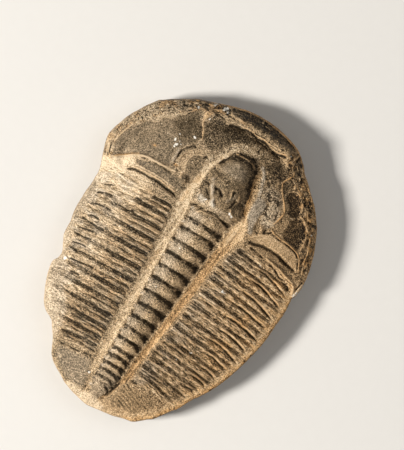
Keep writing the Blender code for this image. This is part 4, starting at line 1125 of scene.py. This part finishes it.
@dataclass(frozen=True)
class Surface:
    """What covers the whole back: grain, orange and pale rims, mineral specks."""

    # millimetres from the rim over which its thin orange edge and its broad orange band, both on
    # the right, and its pale lip fade
    crust: float = 0.2
    stain: float = 0.7
    lip: float = 0.16

    def shape(self, relief: Relief) -> None:
        """Finish the relief."""
        x, y = relief.x, relief.y
        fine = Grain(83).layers(x, y, 0.5, 3)
        relief.height += 0.035 * fine * ease(relief.edge / 0.3)
        relief.tone += 0.07 * Grain(89).layers(x, y, 0.3, 2) + 0.05 * Grain(97).layers(x, y, 2.5)
        drift = np.clip((x - 0.1 * y) / 10.0, -1.0, 1.0)
        relief.at_least(rust=0.22 * np.clip(drift + 0.2, 0.0, 1.0),
                        cool=0.20 * np.clip(-drift, 0.0, 1.0))
        right = ease((x + 3.5 + 0.3 * y) / 3.0)
        thin = stripe(relief.edge, 0.0, self.crust)
        broad = stripe(relief.edge, 0.0, self.stain) * ease((3.5 - y) / 1.5)
        relief.at_least(rust=right * relief.crumble * np.maximum(0.95 * thin, 0.62 * broad))
        relief.cool *= 1.0 - right * np.maximum(thin, broad)
        relief.toward(0.84, 0.85 * right * np.maximum(thin, broad))
        rim = right * np.maximum(broad, 0.7 * thin)
        relief.at_least(rough=0.95 * rim)
        relief.crumble_up(0.7 * rim, 77)
        lip = 0.9 * stripe(relief.edge, 0.0, self.lip) * ease(1.1 + 1.5 * relief.breaks)
        lip *= 1.0 - 0.8 * ease((-x - 5.0) / 3.0) * ease((5.0 - y) / 2.0)
        relief.at_least(crest=lip)
        pale = thin * ease((-x - 1.0 - 0.15 * y) / 3.0)
        relief.toward(0.70, 0.4 * pale)
        relief.fill(GENAL_STUB)
        for speck in SPECKS:
            relief.dot(speck)


# ------------------------------------------------------------------ the stone's mesh


def new_mesh(name: str, bm: bmesh.types.BMesh) -> bpy.types.Mesh:
    """Turn a finished bmesh into a mesh."""
    mesh = bpy.data.meshes.new(name)
    bm.to_mesh(mesh)
    bm.free()
    return mesh


def new_object(name: str, data: bpy.types.ID) -> bpy.types.Object:
    """Make an object for a mesh, camera or lamp and link it to the scene."""
    made = bpy.data.objects.new(name, data)
    bpy.context.scene.collection.objects.link(made)
    return made


@dataclass(frozen=True)
class Edge:
    """The broken wall round the stone, from the rim of the back to the underside."""

    spall: float = 0.10
    # height share from the base, then how far the wall stands in from the widest outline
    profile: tuple[Pair, ...] = ((0.0, 0.75), (0.09, 0.35), (0.22, 0.17), (0.45, 0.05),
                                  (0.72, 0.0), (0.9, 0.03), (1.0, 0.16))

    def inset(self, share: Array) -> Array:
        """Inset of the wall at a share of its height."""
        table = np.array(self.profile)
        return np.interp(share, table[:, 0], table[:, 1])


@dataclass
class FossilStone:
    """The whole fossil as one closed mesh: back, broken edge and calcite underside."""

    outline: Outline = field(default_factory=Outline)
    dome: Dome = field(default_factory=Dome)
    axis: Axis = field(default_factory=Axis)
    thorax: Thorax = field(default_factory=Thorax)
    head: HeadShield = field(default_factory=HeadShield)
    tail: TailShield = field(default_factory=TailShield)
    surface: Surface = field(default_factory=Surface)
    edge: Edge = field(default_factory=Edge)
    columns: int = 84
    rows: int = 115
    courses: int = 6
    top_cuts: int = 2
    box_margin: float = 0.04 * MM
    # shares of x and y by which the back's rim draws in, and the underside's size
    rim_draw: Pair = (0.012, 0.009)
    base_size: Pair = (0.945, 0.96)
    # unwrapped map, millimetres: middles of the back and the underside, side of the map,
    # strip between rim and wall, and how small the underside is drawn
    map_back: Pair = (16.4, 21.5)
    map_under: Pair = (41.4, 12.0)
    map_side: float = 43.0
    map_gap: float = 0.15
    map_shrink: float = 0.6

    def block(self) -> bmesh.types.BMesh:
        """A cube cut into columns, rows and courses, and more finely on top."""
        bm = bmesh.new()
        bmesh.ops.create_cube(bm, size=2.0)
        for direction, count in enumerate((self.columns, self.rows, self.courses)):
            edges = [e for e in bm.edges
                     if abs(e.verts[0].co[direction] - e.verts[1].co[direction]) > 1.0]
            bmesh.ops.subdivide_edges(bm, edges=edges, cuts=count - 1, use_grid_fill=True)
        top = [e for e in bm.edges if min(v.co.z for v in e.verts) > FACE]
        bmesh.ops.subdivide_edges(bm, edges=top, cuts=self.top_cuts, use_grid_fill=True)
        return bm

    def relief_at(self, x: Array, y: Array) -> Relief:
        """Work out the back's surface.

        Args:
            x: Plan positions across the body.
            y: Plan positions along the body.

        Returns:
            Heights and masks at those positions.
        """
        relief = Relief(x, y, self.outline.inset(x, y))
        self.dome.shape(relief)
        self.thorax.shape(relief, self.axis)
        self.axis.shape(relief)
        for line in (*LEFT_FLANK_STREAKS, *self.axis.marks()):
            relief.draw(line)
        self.tail.shape(relief)
        self.head.shape(relief)
        self.surface.shape(relief)
        return relief

    def wall_points(self, u: Array, v: Array, w: Array) -> tuple[Array, Array, Array]:
        """Place the wall's vertices.

        Args:
            u: Place across the block.
            v: Place along the block.
            w: Place up the block, -1 at the base and 1 at the rim.

        Returns:
            x, y and height, millimetres.
        """
        share = (w + 1.0) / 2.0
        x, y = self.outline.plan(u, v)
        ring = self.outline.ring()
        tangent = np.roll(ring, -2, axis=0) - np.roll(ring, 2, axis=0)
        inward = np.stack([tangent[:, 1], -tangent[:, 0]], 1)
        inward /= np.linalg.norm(inward, axis=1)[:, None]
        nearest = np.array([np.argmin((ring[:, 0] - px) ** 2 + (ring[:, 1] - py) ** 2)
                            for px, py in zip(x, y)])
        grain = Grain(101).layers(x * 0.7 + y, w * 2.0 + x * 0.3 - y, 0.8)
        step = self.edge.inset(share)
        step += self.edge.spall * (grain + 0.6) * np.sin(math.pi * share)
        x = x + inward[nearest, 0] * step
        y = y + inward[nearest, 1] * step
        return x, y, share * self.dome.rim

    def placed(self, coords: Array) -> tuple[Array, dict[str, Array]]:
        """Move the block's vertices onto the stone.

        Args:
            coords: The block's vertices, from -1 to 1.

        Returns:
            Vertex positions in millimetres, and the masks at each vertex.
        """
        u, v, w = coords.T
        outward = np.maximum(np.abs(u), np.abs(v))
        on_top, at_base = w > FACE, w < -FACE
        wall = ~(on_top | at_base) | ((outward > FACE) & at_base)
        at_base &= ~wall
        out = np.zeros_like(coords)
        masks = {name: np.zeros(len(u)) for name in MASKS}
        rim = outward[on_top] ** 6
        x, y = (flat * (1.0 - draw * rim) for flat, draw in zip(
            self.outline.plan(u[on_top], v[on_top]), self.rim_draw))
        relief = self.relief_at(x, y)
        relief.height[rim > FACE] = self.dome.rim
        out[on_top] = np.stack([x, y, relief.height], 1)
        for name in masks:
            masks[name][on_top] = getattr(relief, name)
        out[wall] = np.stack(self.wall_points(u[wall], v[wall], w[wall]), 1)
        x, y = (flat * size for flat, size in zip(
            self.outline.plan(u[at_base], v[at_base]), self.base_size))
        out[at_base] = np.stack([x, y, self.underside(x, y)], 1)
        self.colour_backing(out, masks, wall, at_base)
        return out, masks

    def underside(self, x: Array, y: Array) -> Array:
        """Height of the calcite underside: low cones and pits over the resting level."""
        inset = self.outline.inset(x, y)
        cones = np.abs(Grain(103).layers(x, y, 2.2, 4))
        return 0.45 * cones * ease((inset - 0.9) / 1.2)

    def colour_backing(self, out: Array, masks: dict[str, Array], wall: Array,
                       at_base: Array) -> None:
        """Paint the edge and the underside.

        Args:
            out: Vertex positions, millimetres.
            masks: The masks to paint.
            wall: Which vertices are on the edge.
            at_base: Which vertices are on the underside.
        """
        x, y, z = out.T
        level = np.clip(z / self.dome.rim, 0.0, 1.0)
        banded = Grain(107).layers(x * 0.6 + y * 0.6, z * 2.0, 1.0, 2, stretch=3.0)
        right = ease((x + 0.3 * y + 2.0) / 6.0)
        pitted = Grain(111).layers(x + 0.4 * y, z * 1.5 - 0.3 * x, 1.2, 2)
        stain = ease((level - 0.45) / 0.4) * (0.25 + 0.6 * right) * (0.7 + 0.5 * banded)
        mottled = Grain(109).layers(x, y, 3.0, 4)
        glints = Grain(113).layers(x, y, 0.6, 2)
        plain = np.ones_like(x)
        edge = {"tone": 0.55 + 0.22 * banded - 0.10 * (1.0 - level) + 0.10 * pitted,
                "rough": 0.75 * plain, "rust": stain, "crack": 0.45 * ease(-2.2 * pitted - 0.3),
                "crest": 0.45 * ease(2.2 * pitted - 0.3)}
        below = {"tone": 0.56 + 0.25 * mottled, "cool": 0.5 + 0.3 * mottled,
                 "rough": 0.6 * plain, "mineral": 0.9 * ease(3.0 * glints - 1.3)}
        for where, painted in ((wall, edge), (at_base, below)):
            for name, value in painted.items():
                masks[name][where] = value[where]

    def bake_map(self, mesh: bpy.types.Mesh, coords: Array, out: Array) -> None:
        """Lay out a map for baking: the back with the edge round it, and the underside.

        Args:
            mesh: The finished mesh.
            coords: The block's vertices, from -1 to 1.
            out: Vertex positions, millimetres.
        """
        x, y, z = out.T
        centre = (out.max(0) + out.min(0)) / 2.0
        dx, dy = x - centre[0], y - centre[1]
        radius = np.maximum(np.hypot(dx, dy), 1e-6)
        drop = np.where(coords[:, 2] < FACE, self.dome.rim - z + self.map_gap, 0.0)
        spread = np.stack([dx * (1.0 + drop / radius), dy * (1.0 + drop / radius)], 1)
        below = self.map_shrink * np.stack([-dx, dy], 1)
        corner_vertex = np.empty(len(mesh.loops), np.int32)
        mesh.loops.foreach_get("vertex_index", corner_vertex)
        face_size = np.empty(len(mesh.polygons), np.int32)
        mesh.polygons.foreach_get("loop_total", face_size)
        lowest = np.minimum.reduceat(-coords[corner_vertex, 2],
                                     np.concatenate([[0], np.cumsum(face_size)[:-1]]))
        under = np.repeat(lowest > FACE, face_size)
        uv = np.where(under[:, None], below[corner_vertex] + self.map_under,
                      spread[corner_vertex] + self.map_back) / self.map_side
        layer = mesh.uv_layers.new(name="OFBake")
        layer.data.foreach_set("uv", uv.astype(np.float32).ravel())

    def build(self) -> bpy.types.Object:
        """Make the fossil's object, with its place in its mesh."""
        bm = self.block()
        bmesh.ops.recalc_face_normals(bm, faces=bm.faces)
        mesh = new_mesh("trilobite_stone", bm)
        flat = np.empty(3 * len(mesh.vertices), np.float32)
        mesh.vertices.foreach_get("co", flat)
        coords = flat.reshape(-1, 3).astype(float)
        out, masks = self.placed(coords)
        for name, values in masks.items():
            layer = mesh.attributes.new(name, "FLOAT", "POINT")
            layer.data.foreach_set("value", np.clip(values, 0.0, 1.0).astype(np.float32))
        self.bake_map(mesh, coords, out)
        low = np.array(CAD_LOW) + self.box_margin * np.array((1.0, 1.0, 0.0))
        high = np.array(CAD_HIGH) - self.box_margin
        share = (out - out.min(0)) / (out.max(0) - out.min(0))
        mesh.vertices.foreach_set("co", (low + share * (high - low)).astype(np.float32).ravel())
        mesh.shade_smooth()
        mesh.update()
        stone = new_object("trilobite_stone", mesh)
        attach(stone, BODY)
        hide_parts(NODE)
        LOG.info("stone: %d faces", len(mesh.polygons))
        return stone


# ------------------------------------------------------------------ finishes


@dataclass
class Graph:
    """A node tree that is filled by name."""

    tree: bpy.types.NodeTree

    def add(self, kind: str, values: dict[Any, Any] | None = None,
            **settings: Any) -> bpy.types.Node:
        """Add a node.

        Args:
            kind: The node's type, without the ShaderNode prefix.
            values: Socket names or numbers, with a plain value or an output socket.
            settings: Properties of the node.

        Returns:
            The new node.
        """
        node = self.tree.nodes.new(f"ShaderNode{kind}")
        for name, value in settings.items():
            setattr(node, name, value)
        self.feed(node, values or {})
        return node

    def feed(self, node: bpy.types.Node, values: dict[Any, Any]) -> None:
        """Give a node's inputs plain values or output sockets."""
        for name, value in values.items():
            if isinstance(value, Socket):
                self.tree.links.new(value, node.inputs[name])
            else:
                node.inputs[name].default_value = value

    def span(self, value: Any, low: float, high: float, bottom: float = 0.0,
             top: float = 1.0) -> Socket:
        """Value stretched from one range to another and held inside it."""
        return self.add("MapRange", {"Value": value, 1: low, 2: high, 3: bottom, 4: top}).outputs[0]

    def noise(self, place: Any, scale: Any, detail: float, roughness: float = 0.5) -> Socket:
        """Layered noise from 0 to 1."""
        return self.add("TexNoise", {"Vector": place, "Scale": scale, "Detail": detail,
                                     "Roughness": roughness}).outputs[0]

    def shift(self, tone: Any, mask: Any, target: float, share: float) -> Socket:
        """Value pulled towards a target by a share of a mask."""
        return self.add("Mix", {0: self.maths("MULTIPLY", mask, share), 2: tone,
                                3: target}).outputs[0]

    def maths(self, operation: str, *inputs: Any) -> Socket:
        """Result of a Math node."""
        return self.add("Math", dict(enumerate(inputs)), operation=operation).outputs[0]

    def blend(self, amount: Any, below: Any, above: Any) -> Socket:
        """Colour between two others."""
        node = self.add("Mix", {0: amount, 6: below, 7: above}, data_type="RGBA")
        return node.outputs[2]

    def ramp(self, value: Any, stops: tuple[tuple[float, tuple[float, ...]], ...]) -> Socket:
        """Colour read from a ramp with these stops."""
        node = self.add("ValToRGB", {0: value})
        elements = node.color_ramp.elements
        for place, colour in stops[len(elements):]:
            elements.new(place)
        for element, (place, colour) in zip(elements, stops):
            element.position = place
            element.color = (*colour, 1.0)
        return node.outputs[0]

    def mask(self, name: str) -> Socket:
        """A mask that the mesh carries."""
        return self.add("Attribute", attribute_name=name).outputs["Fac"]


def grain_group() -> bpy.types.NodeTree:
    """Grain of the stone: even, drawn out along the ribs, and as rare specks and pores."""
    group = bpy.data.node_groups.new("stone_grain", "ShaderNodeTree")
    for way, kind, names in (("INPUT", "Vector", ("Vector",)), ("INPUT", "Float", ("Size",)),
                             ("OUTPUT", "Float", ("Even", "Fibre", "Fray", "Specks", "Pores"))):
        for name in names:
            group.interface.new_socket(name=name, in_out=way, socket_type=f"NodeSocket{kind}")
    graph = Graph(group)
    place, size = group.nodes.new("NodeGroupInput").outputs[:2]

    def noise(vector: Any, scale: float, detail: float) -> Socket:
        """Noise stretched to the full range, at a share of the group's size."""
        return graph.span(graph.noise(vector, graph.maths("MULTIPLY", size, scale), detail, 0.6),
                          0.3, 0.7)

    even = graph.maths("ADD", graph.maths("MULTIPLY", noise(place, 0.75, 2.0), 0.22),
                       graph.maths("MULTIPLY", noise(place, 2.3, 1.0), 0.78))
    parts = graph.add("SeparateXYZ", {"Vector": place}).outputs
    droop = graph.maths("MULTIPLY_ADD", graph.maths("ABSOLUTE", parts["X"]), 0.075, parts["Y"])
    along = graph.add("CombineXYZ", {"X": graph.maths("MULTIPLY", parts["X"], 0.065),
                                     "Y": droop, "Z": parts["Z"]}).outputs[0]
    cells = graph.add("TexVoronoi", {"Vector": place, "Scale": size}).outputs
    rare = graph.add("TexWhiteNoise", {"Vector": cells["Position"]}).outputs["Value"]
    spot = graph.span(cells["Distance"], 0.30, 0.12)
    pores = graph.noise(place, graph.maths("MULTIPLY", size, 0.75), 3.0, 0.7)
    graph.feed(group.nodes.new("NodeGroupOutput"), {
        "Even": even, "Fibre": noise(along, 1.7, 1.0), "Fray": noise(place, 1.25, 1.0),
        "Specks": graph.maths("MULTIPLY", spot, graph.maths("GREATER_THAN", rare, 0.95)),
        "Pores": graph.span(pores, 0.42, 0.32)})
    return group


def new_material(name: str) -> tuple[bpy.types.Material, Graph, bpy.types.Node]:
    """Start a material: the material, its graph and its shader."""
    material = bpy.data.materials.new(name)
    material.use_nodes = True
    return material, Graph(material.node_tree), material.node_tree.nodes["Principled BSDF"]


@dataclass(frozen=True)
class StoneColours:
    """Linear colours of the stone, from open cracks to fresh sediment, and its stains."""

    ink: tuple[float, ...] = (0.013, 0.0070, 0.0025)
    shell: tuple[float, ...] = (0.068, 0.047, 0.024)
    slate: tuple[float, ...] = (0.170, 0.123, 0.069)
    worn: tuple[float, ...] = (0.285, 0.200, 0.113)
    buff: tuple[float, ...] = (0.430, 0.300, 0.172)
    sediment: tuple[float, ...] = (0.600, 0.425, 0.245)
    cream: tuple[float, ...] = (0.820, 0.660, 0.450)
    rust: tuple[float, ...] = (1.15, 0.76, 0.30)
    mineral: tuple[float, ...] = (0.86, 0.82, 0.74)

    def stops(self) -> tuple[tuple[float, tuple[float, ...]], ...]:
        """The tone ramp."""
        colours = (self.ink, self.shell, self.slate, self.worn, self.buff, self.sediment,
                   self.cream)
        return tuple((tone.value, colour) for tone, colour in zip(Tone, colours))


@dataclass(frozen=True)
class StoneFinish:
    """A finish of the fossil: how its masks become colour, roughness and bump."""

    name: str
    grain: bpy.types.NodeTree
    colours: StoneColours = StoneColours()
    grain_size: float = 4000.0
    smooth_contrast: float = 0.56
    rough_contrast: float = 1.65
    fibre_contrast: float = 1.40
    speck_gain: float = 0.9
    pore_gain: float = 0.35
    bump_depth: float = 0.09 * MM
    crack_shade: float = 0.12
    # tone of the crests and of the cracks, and how fully they take it
    crest_tone: Pair = (0.85, 0.75)
    crack_tone: Pair = (0.06, 0.8)

    @staticmethod
    def crisp(graph: Graph, mask: Socket, grain: Socket) -> Socket:
        """Cut a soft line mask into a crisp line whose edge follows the grain.

        Args:
            graph: The material's graph.
            mask: The soft mask.
            grain: Grain round zero.

        Returns:
            1 on the line and 0 off it.
        """
        return graph.span(graph.maths("MULTIPLY_ADD", grain, 0.55, mask), 0.45, 0.68)

    def build(self) -> bpy.types.Material:
        """Make the material."""
        material, graph, shader = new_material(self.name)
        even, fibre, frayed, specks, pores = graph.add(
            "Group", {"Vector": graph.add("TexCoord").outputs["Object"], "Size": self.grain_size},
            node_tree=self.grain).outputs
        rough, drawn_out = graph.mask("rough"), graph.mask("fibre")
        contrast = graph.span(rough, 0.0, 1.0, self.smooth_contrast, self.rough_contrast)
        centred = graph.maths("SUBTRACT", even, 0.5)
        streaks = graph.maths("MULTIPLY", graph.maths("SUBTRACT", fibre, 0.5), drawn_out)
        tone = graph.maths("MULTIPLY_ADD", centred, contrast, graph.mask("tone"))
        tone = graph.maths("MULTIPLY_ADD", streaks, self.fibre_contrast, tone)
        tone = graph.maths("MULTIPLY_ADD", specks, self.speck_gain, tone)
        pitted = graph.maths("MULTIPLY", pores, graph.span(rough, 0.6, 1.0))
        tone = graph.maths("MULTIPLY_ADD", pitted, -self.pore_gain, tone)
        tone = graph.maths("MULTIPLY_ADD", graph.mask("crack"), -self.crack_shade, tone)
        fray = graph.maths("MULTIPLY_ADD", streaks, 0.5, graph.maths("SUBTRACT", frayed, 0.5))
        crack = self.crisp(graph, graph.mask("crack"), fray)
        crest = self.crisp(graph, graph.mask("crest"), fray)
        tone = graph.shift(tone, crest, *self.crest_tone)
        tone = graph.shift(tone, crack, *self.crack_tone)
        colour = graph.ramp(tone, self.colours.stops())
        grey = graph.ramp(tone, ((0.0, (0.016, 0.013, 0.009)), (0.35, (0.155, 0.138, 0.108)),
                                 (1.0, (0.74, 0.70, 0.62))))
        # grey tint from the grey mask: grey stone, and painted sheen on slopes that face the key
        # lamp
        cool = graph.blend(graph.maths("MULTIPLY", graph.mask("cool"), 0.6), colour, grey)
        stained = graph.add("Mix", {0: 1.0, 6: cool, 7: (*self.colours.rust, 1.0)},
                            data_type="RGBA", blend_type="MULTIPLY").outputs[2]
        rust = graph.blend(graph.mask("rust"), cool, stained)
        crystal = self.crisp(graph, graph.mask("mineral"), fray)
        final = graph.blend(crystal, rust, (*self.colours.mineral, 1.0))
        height = graph.maths("MULTIPLY", even, graph.maths("ADD", rough, 0.15))
        height = graph.maths("MULTIPLY_ADD", streaks, 0.9, height)
        height = graph.maths("MULTIPLY_ADD", pitted, -0.8, height)
        height = graph.maths("ADD", height, graph.maths("SUBTRACT", crest, crack))
        bump = graph.add("Bump", {"Height": height, "Strength": 1.0, "Distance": self.bump_depth})
        graph.feed(shader, {"Base Color": final, "Specular IOR Level": 0.16,
                            "Roughness": graph.span(tone, 0.15, 0.7, 0.46, 0.8),
                            "Normal": bump.outputs["Normal"]})
        return material


@dataclass(frozen=True)
class FloorFinish:
    """Matt pale board."""

    colour: tuple[float, ...] = (0.72, 0.71, 0.69)

    def build(self) -> bpy.types.Material:
        """Make the material, with a trace of paper tooth."""
        material, graph, shader = new_material("pale_board")
        tooth = graph.noise(graph.add("TexCoord").outputs["Object"], 900.0, 3.0)
        darker = (0.97 * c for c in self.colour)
        tint = graph.blend(tooth, (*self.colour, 1.0), (*darker, 1.0))
        graph.feed(shader, {"Base Color": tint, "Roughness": 0.85})
        return material


# ------------------------------------------------------------------ studio


@dataclass(frozen=True)
class Lamp:
    """An area lamp that faces the stone."""

    name: str
    # direction of the lamp from the stone: degrees from +X towards +Y, then over the horizon
    azimuth: float
    elevation: float
    size: float
    power: float
    colour: tuple[float, float, float]
    distance: float = 0.5

    def build(self) -> bpy.types.Object:
        """Make the lamp and aim it."""
        data = bpy.data.lights.new(self.name, "AREA")
        data.size = self.size
        data.energy = self.power
        data.color = self.colour
        turn, lift = math.radians(self.azimuth), math.radians(self.elevation)
        level = math.cos(lift)
        away = Vector((math.cos(turn) * level, math.sin(turn) * level, math.sin(lift)))
        lamp = new_object(self.name, data)
        lamp.location = away * self.distance
        lamp.rotation_euler = away.to_track_quat("Z", "Y").to_euler()
        return lamp


@dataclass(frozen=True)
class Studio:
    """Pale floor, soft lights and the camera over the specimen."""

    # key from the rear left of the body, and a weak fill opposite
    lamps: tuple[Lamp, ...] = (Lamp("key", 221.0, 38.0, 0.10, 3.9, (1.0, 0.96, 0.90)),
                               Lamp("fill", 50.0, 50.0, 0.35, 0.5, (1.0, 0.97, 0.93)))
    turn: float = math.radians(32.5)
    aim: tuple[float, float, float] = (0.000524, 0.004938, 0.0036)
    frame_height: float = 0.04905
    lens: float = 250.0
    sensor: float = 36.0
    board_reach: float = 0.6
    board_gap: float = 0.02 * MM

    def floor(self) -> bpy.types.Object:
        """A wide pale board just under the stone."""
        bm = bmesh.new()
        bmesh.ops.create_grid(bm, x_segments=1, y_segments=1, size=self.board_reach)
        bmesh.ops.translate(bm, verts=bm.verts, vec=(0.0, 0.0, -self.board_gap))
        mesh = new_mesh("floor", bm)
        mesh.materials.append(FloorFinish().build())
        board = new_object("floor", mesh)
        board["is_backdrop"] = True
        return board

    def camera(self) -> bpy.types.Object:
        """The camera, straight over the stone, rolled so that the body lies slantwise."""
        data = bpy.data.cameras.new("camera")
        data.lens = self.lens
        data.sensor_width = self.sensor
        data.clip_start = 0.01
        distance = self.frame_height * self.lens / self.sensor
        camera = new_object("camera", data)
        camera.location = Vector(self.aim) + Vector((0.0, 0.0, distance))
        camera.rotation_euler = (0.0, 0.0, self.turn)
        bpy.context.scene.camera = camera
        return camera

    def light(self) -> None:
        """Switch on the lamps in pale surroundings."""
        for lamp in self.lamps:
            lamp.build()
        world = bpy.data.worlds.new("studio")
        world.use_nodes = True
        background = world.node_tree.nodes["Background"]
        background.inputs["Color"].default_value = (1.0, 0.98, 0.95, 1.0)
        background.inputs["Strength"].default_value = 0.16
        bpy.context.scene.world = world
        bpy.context.scene.view_settings.view_transform = "Standard"


def main() -> None:
    """Build the stone, dress it and set the studio."""
    logging.basicConfig(level=logging.INFO, format="%(name)s: %(message)s")
    stone = FossilStone().build()
    stone.data.materials.append(StoneFinish("fossil_shell", grain_group()).build())
    studio = Studio()
    studio.floor()
    studio.camera()
    studio.light()
    LOG.info("studio: floor, camera and lights")


if __name__ == "__main__":
    main()
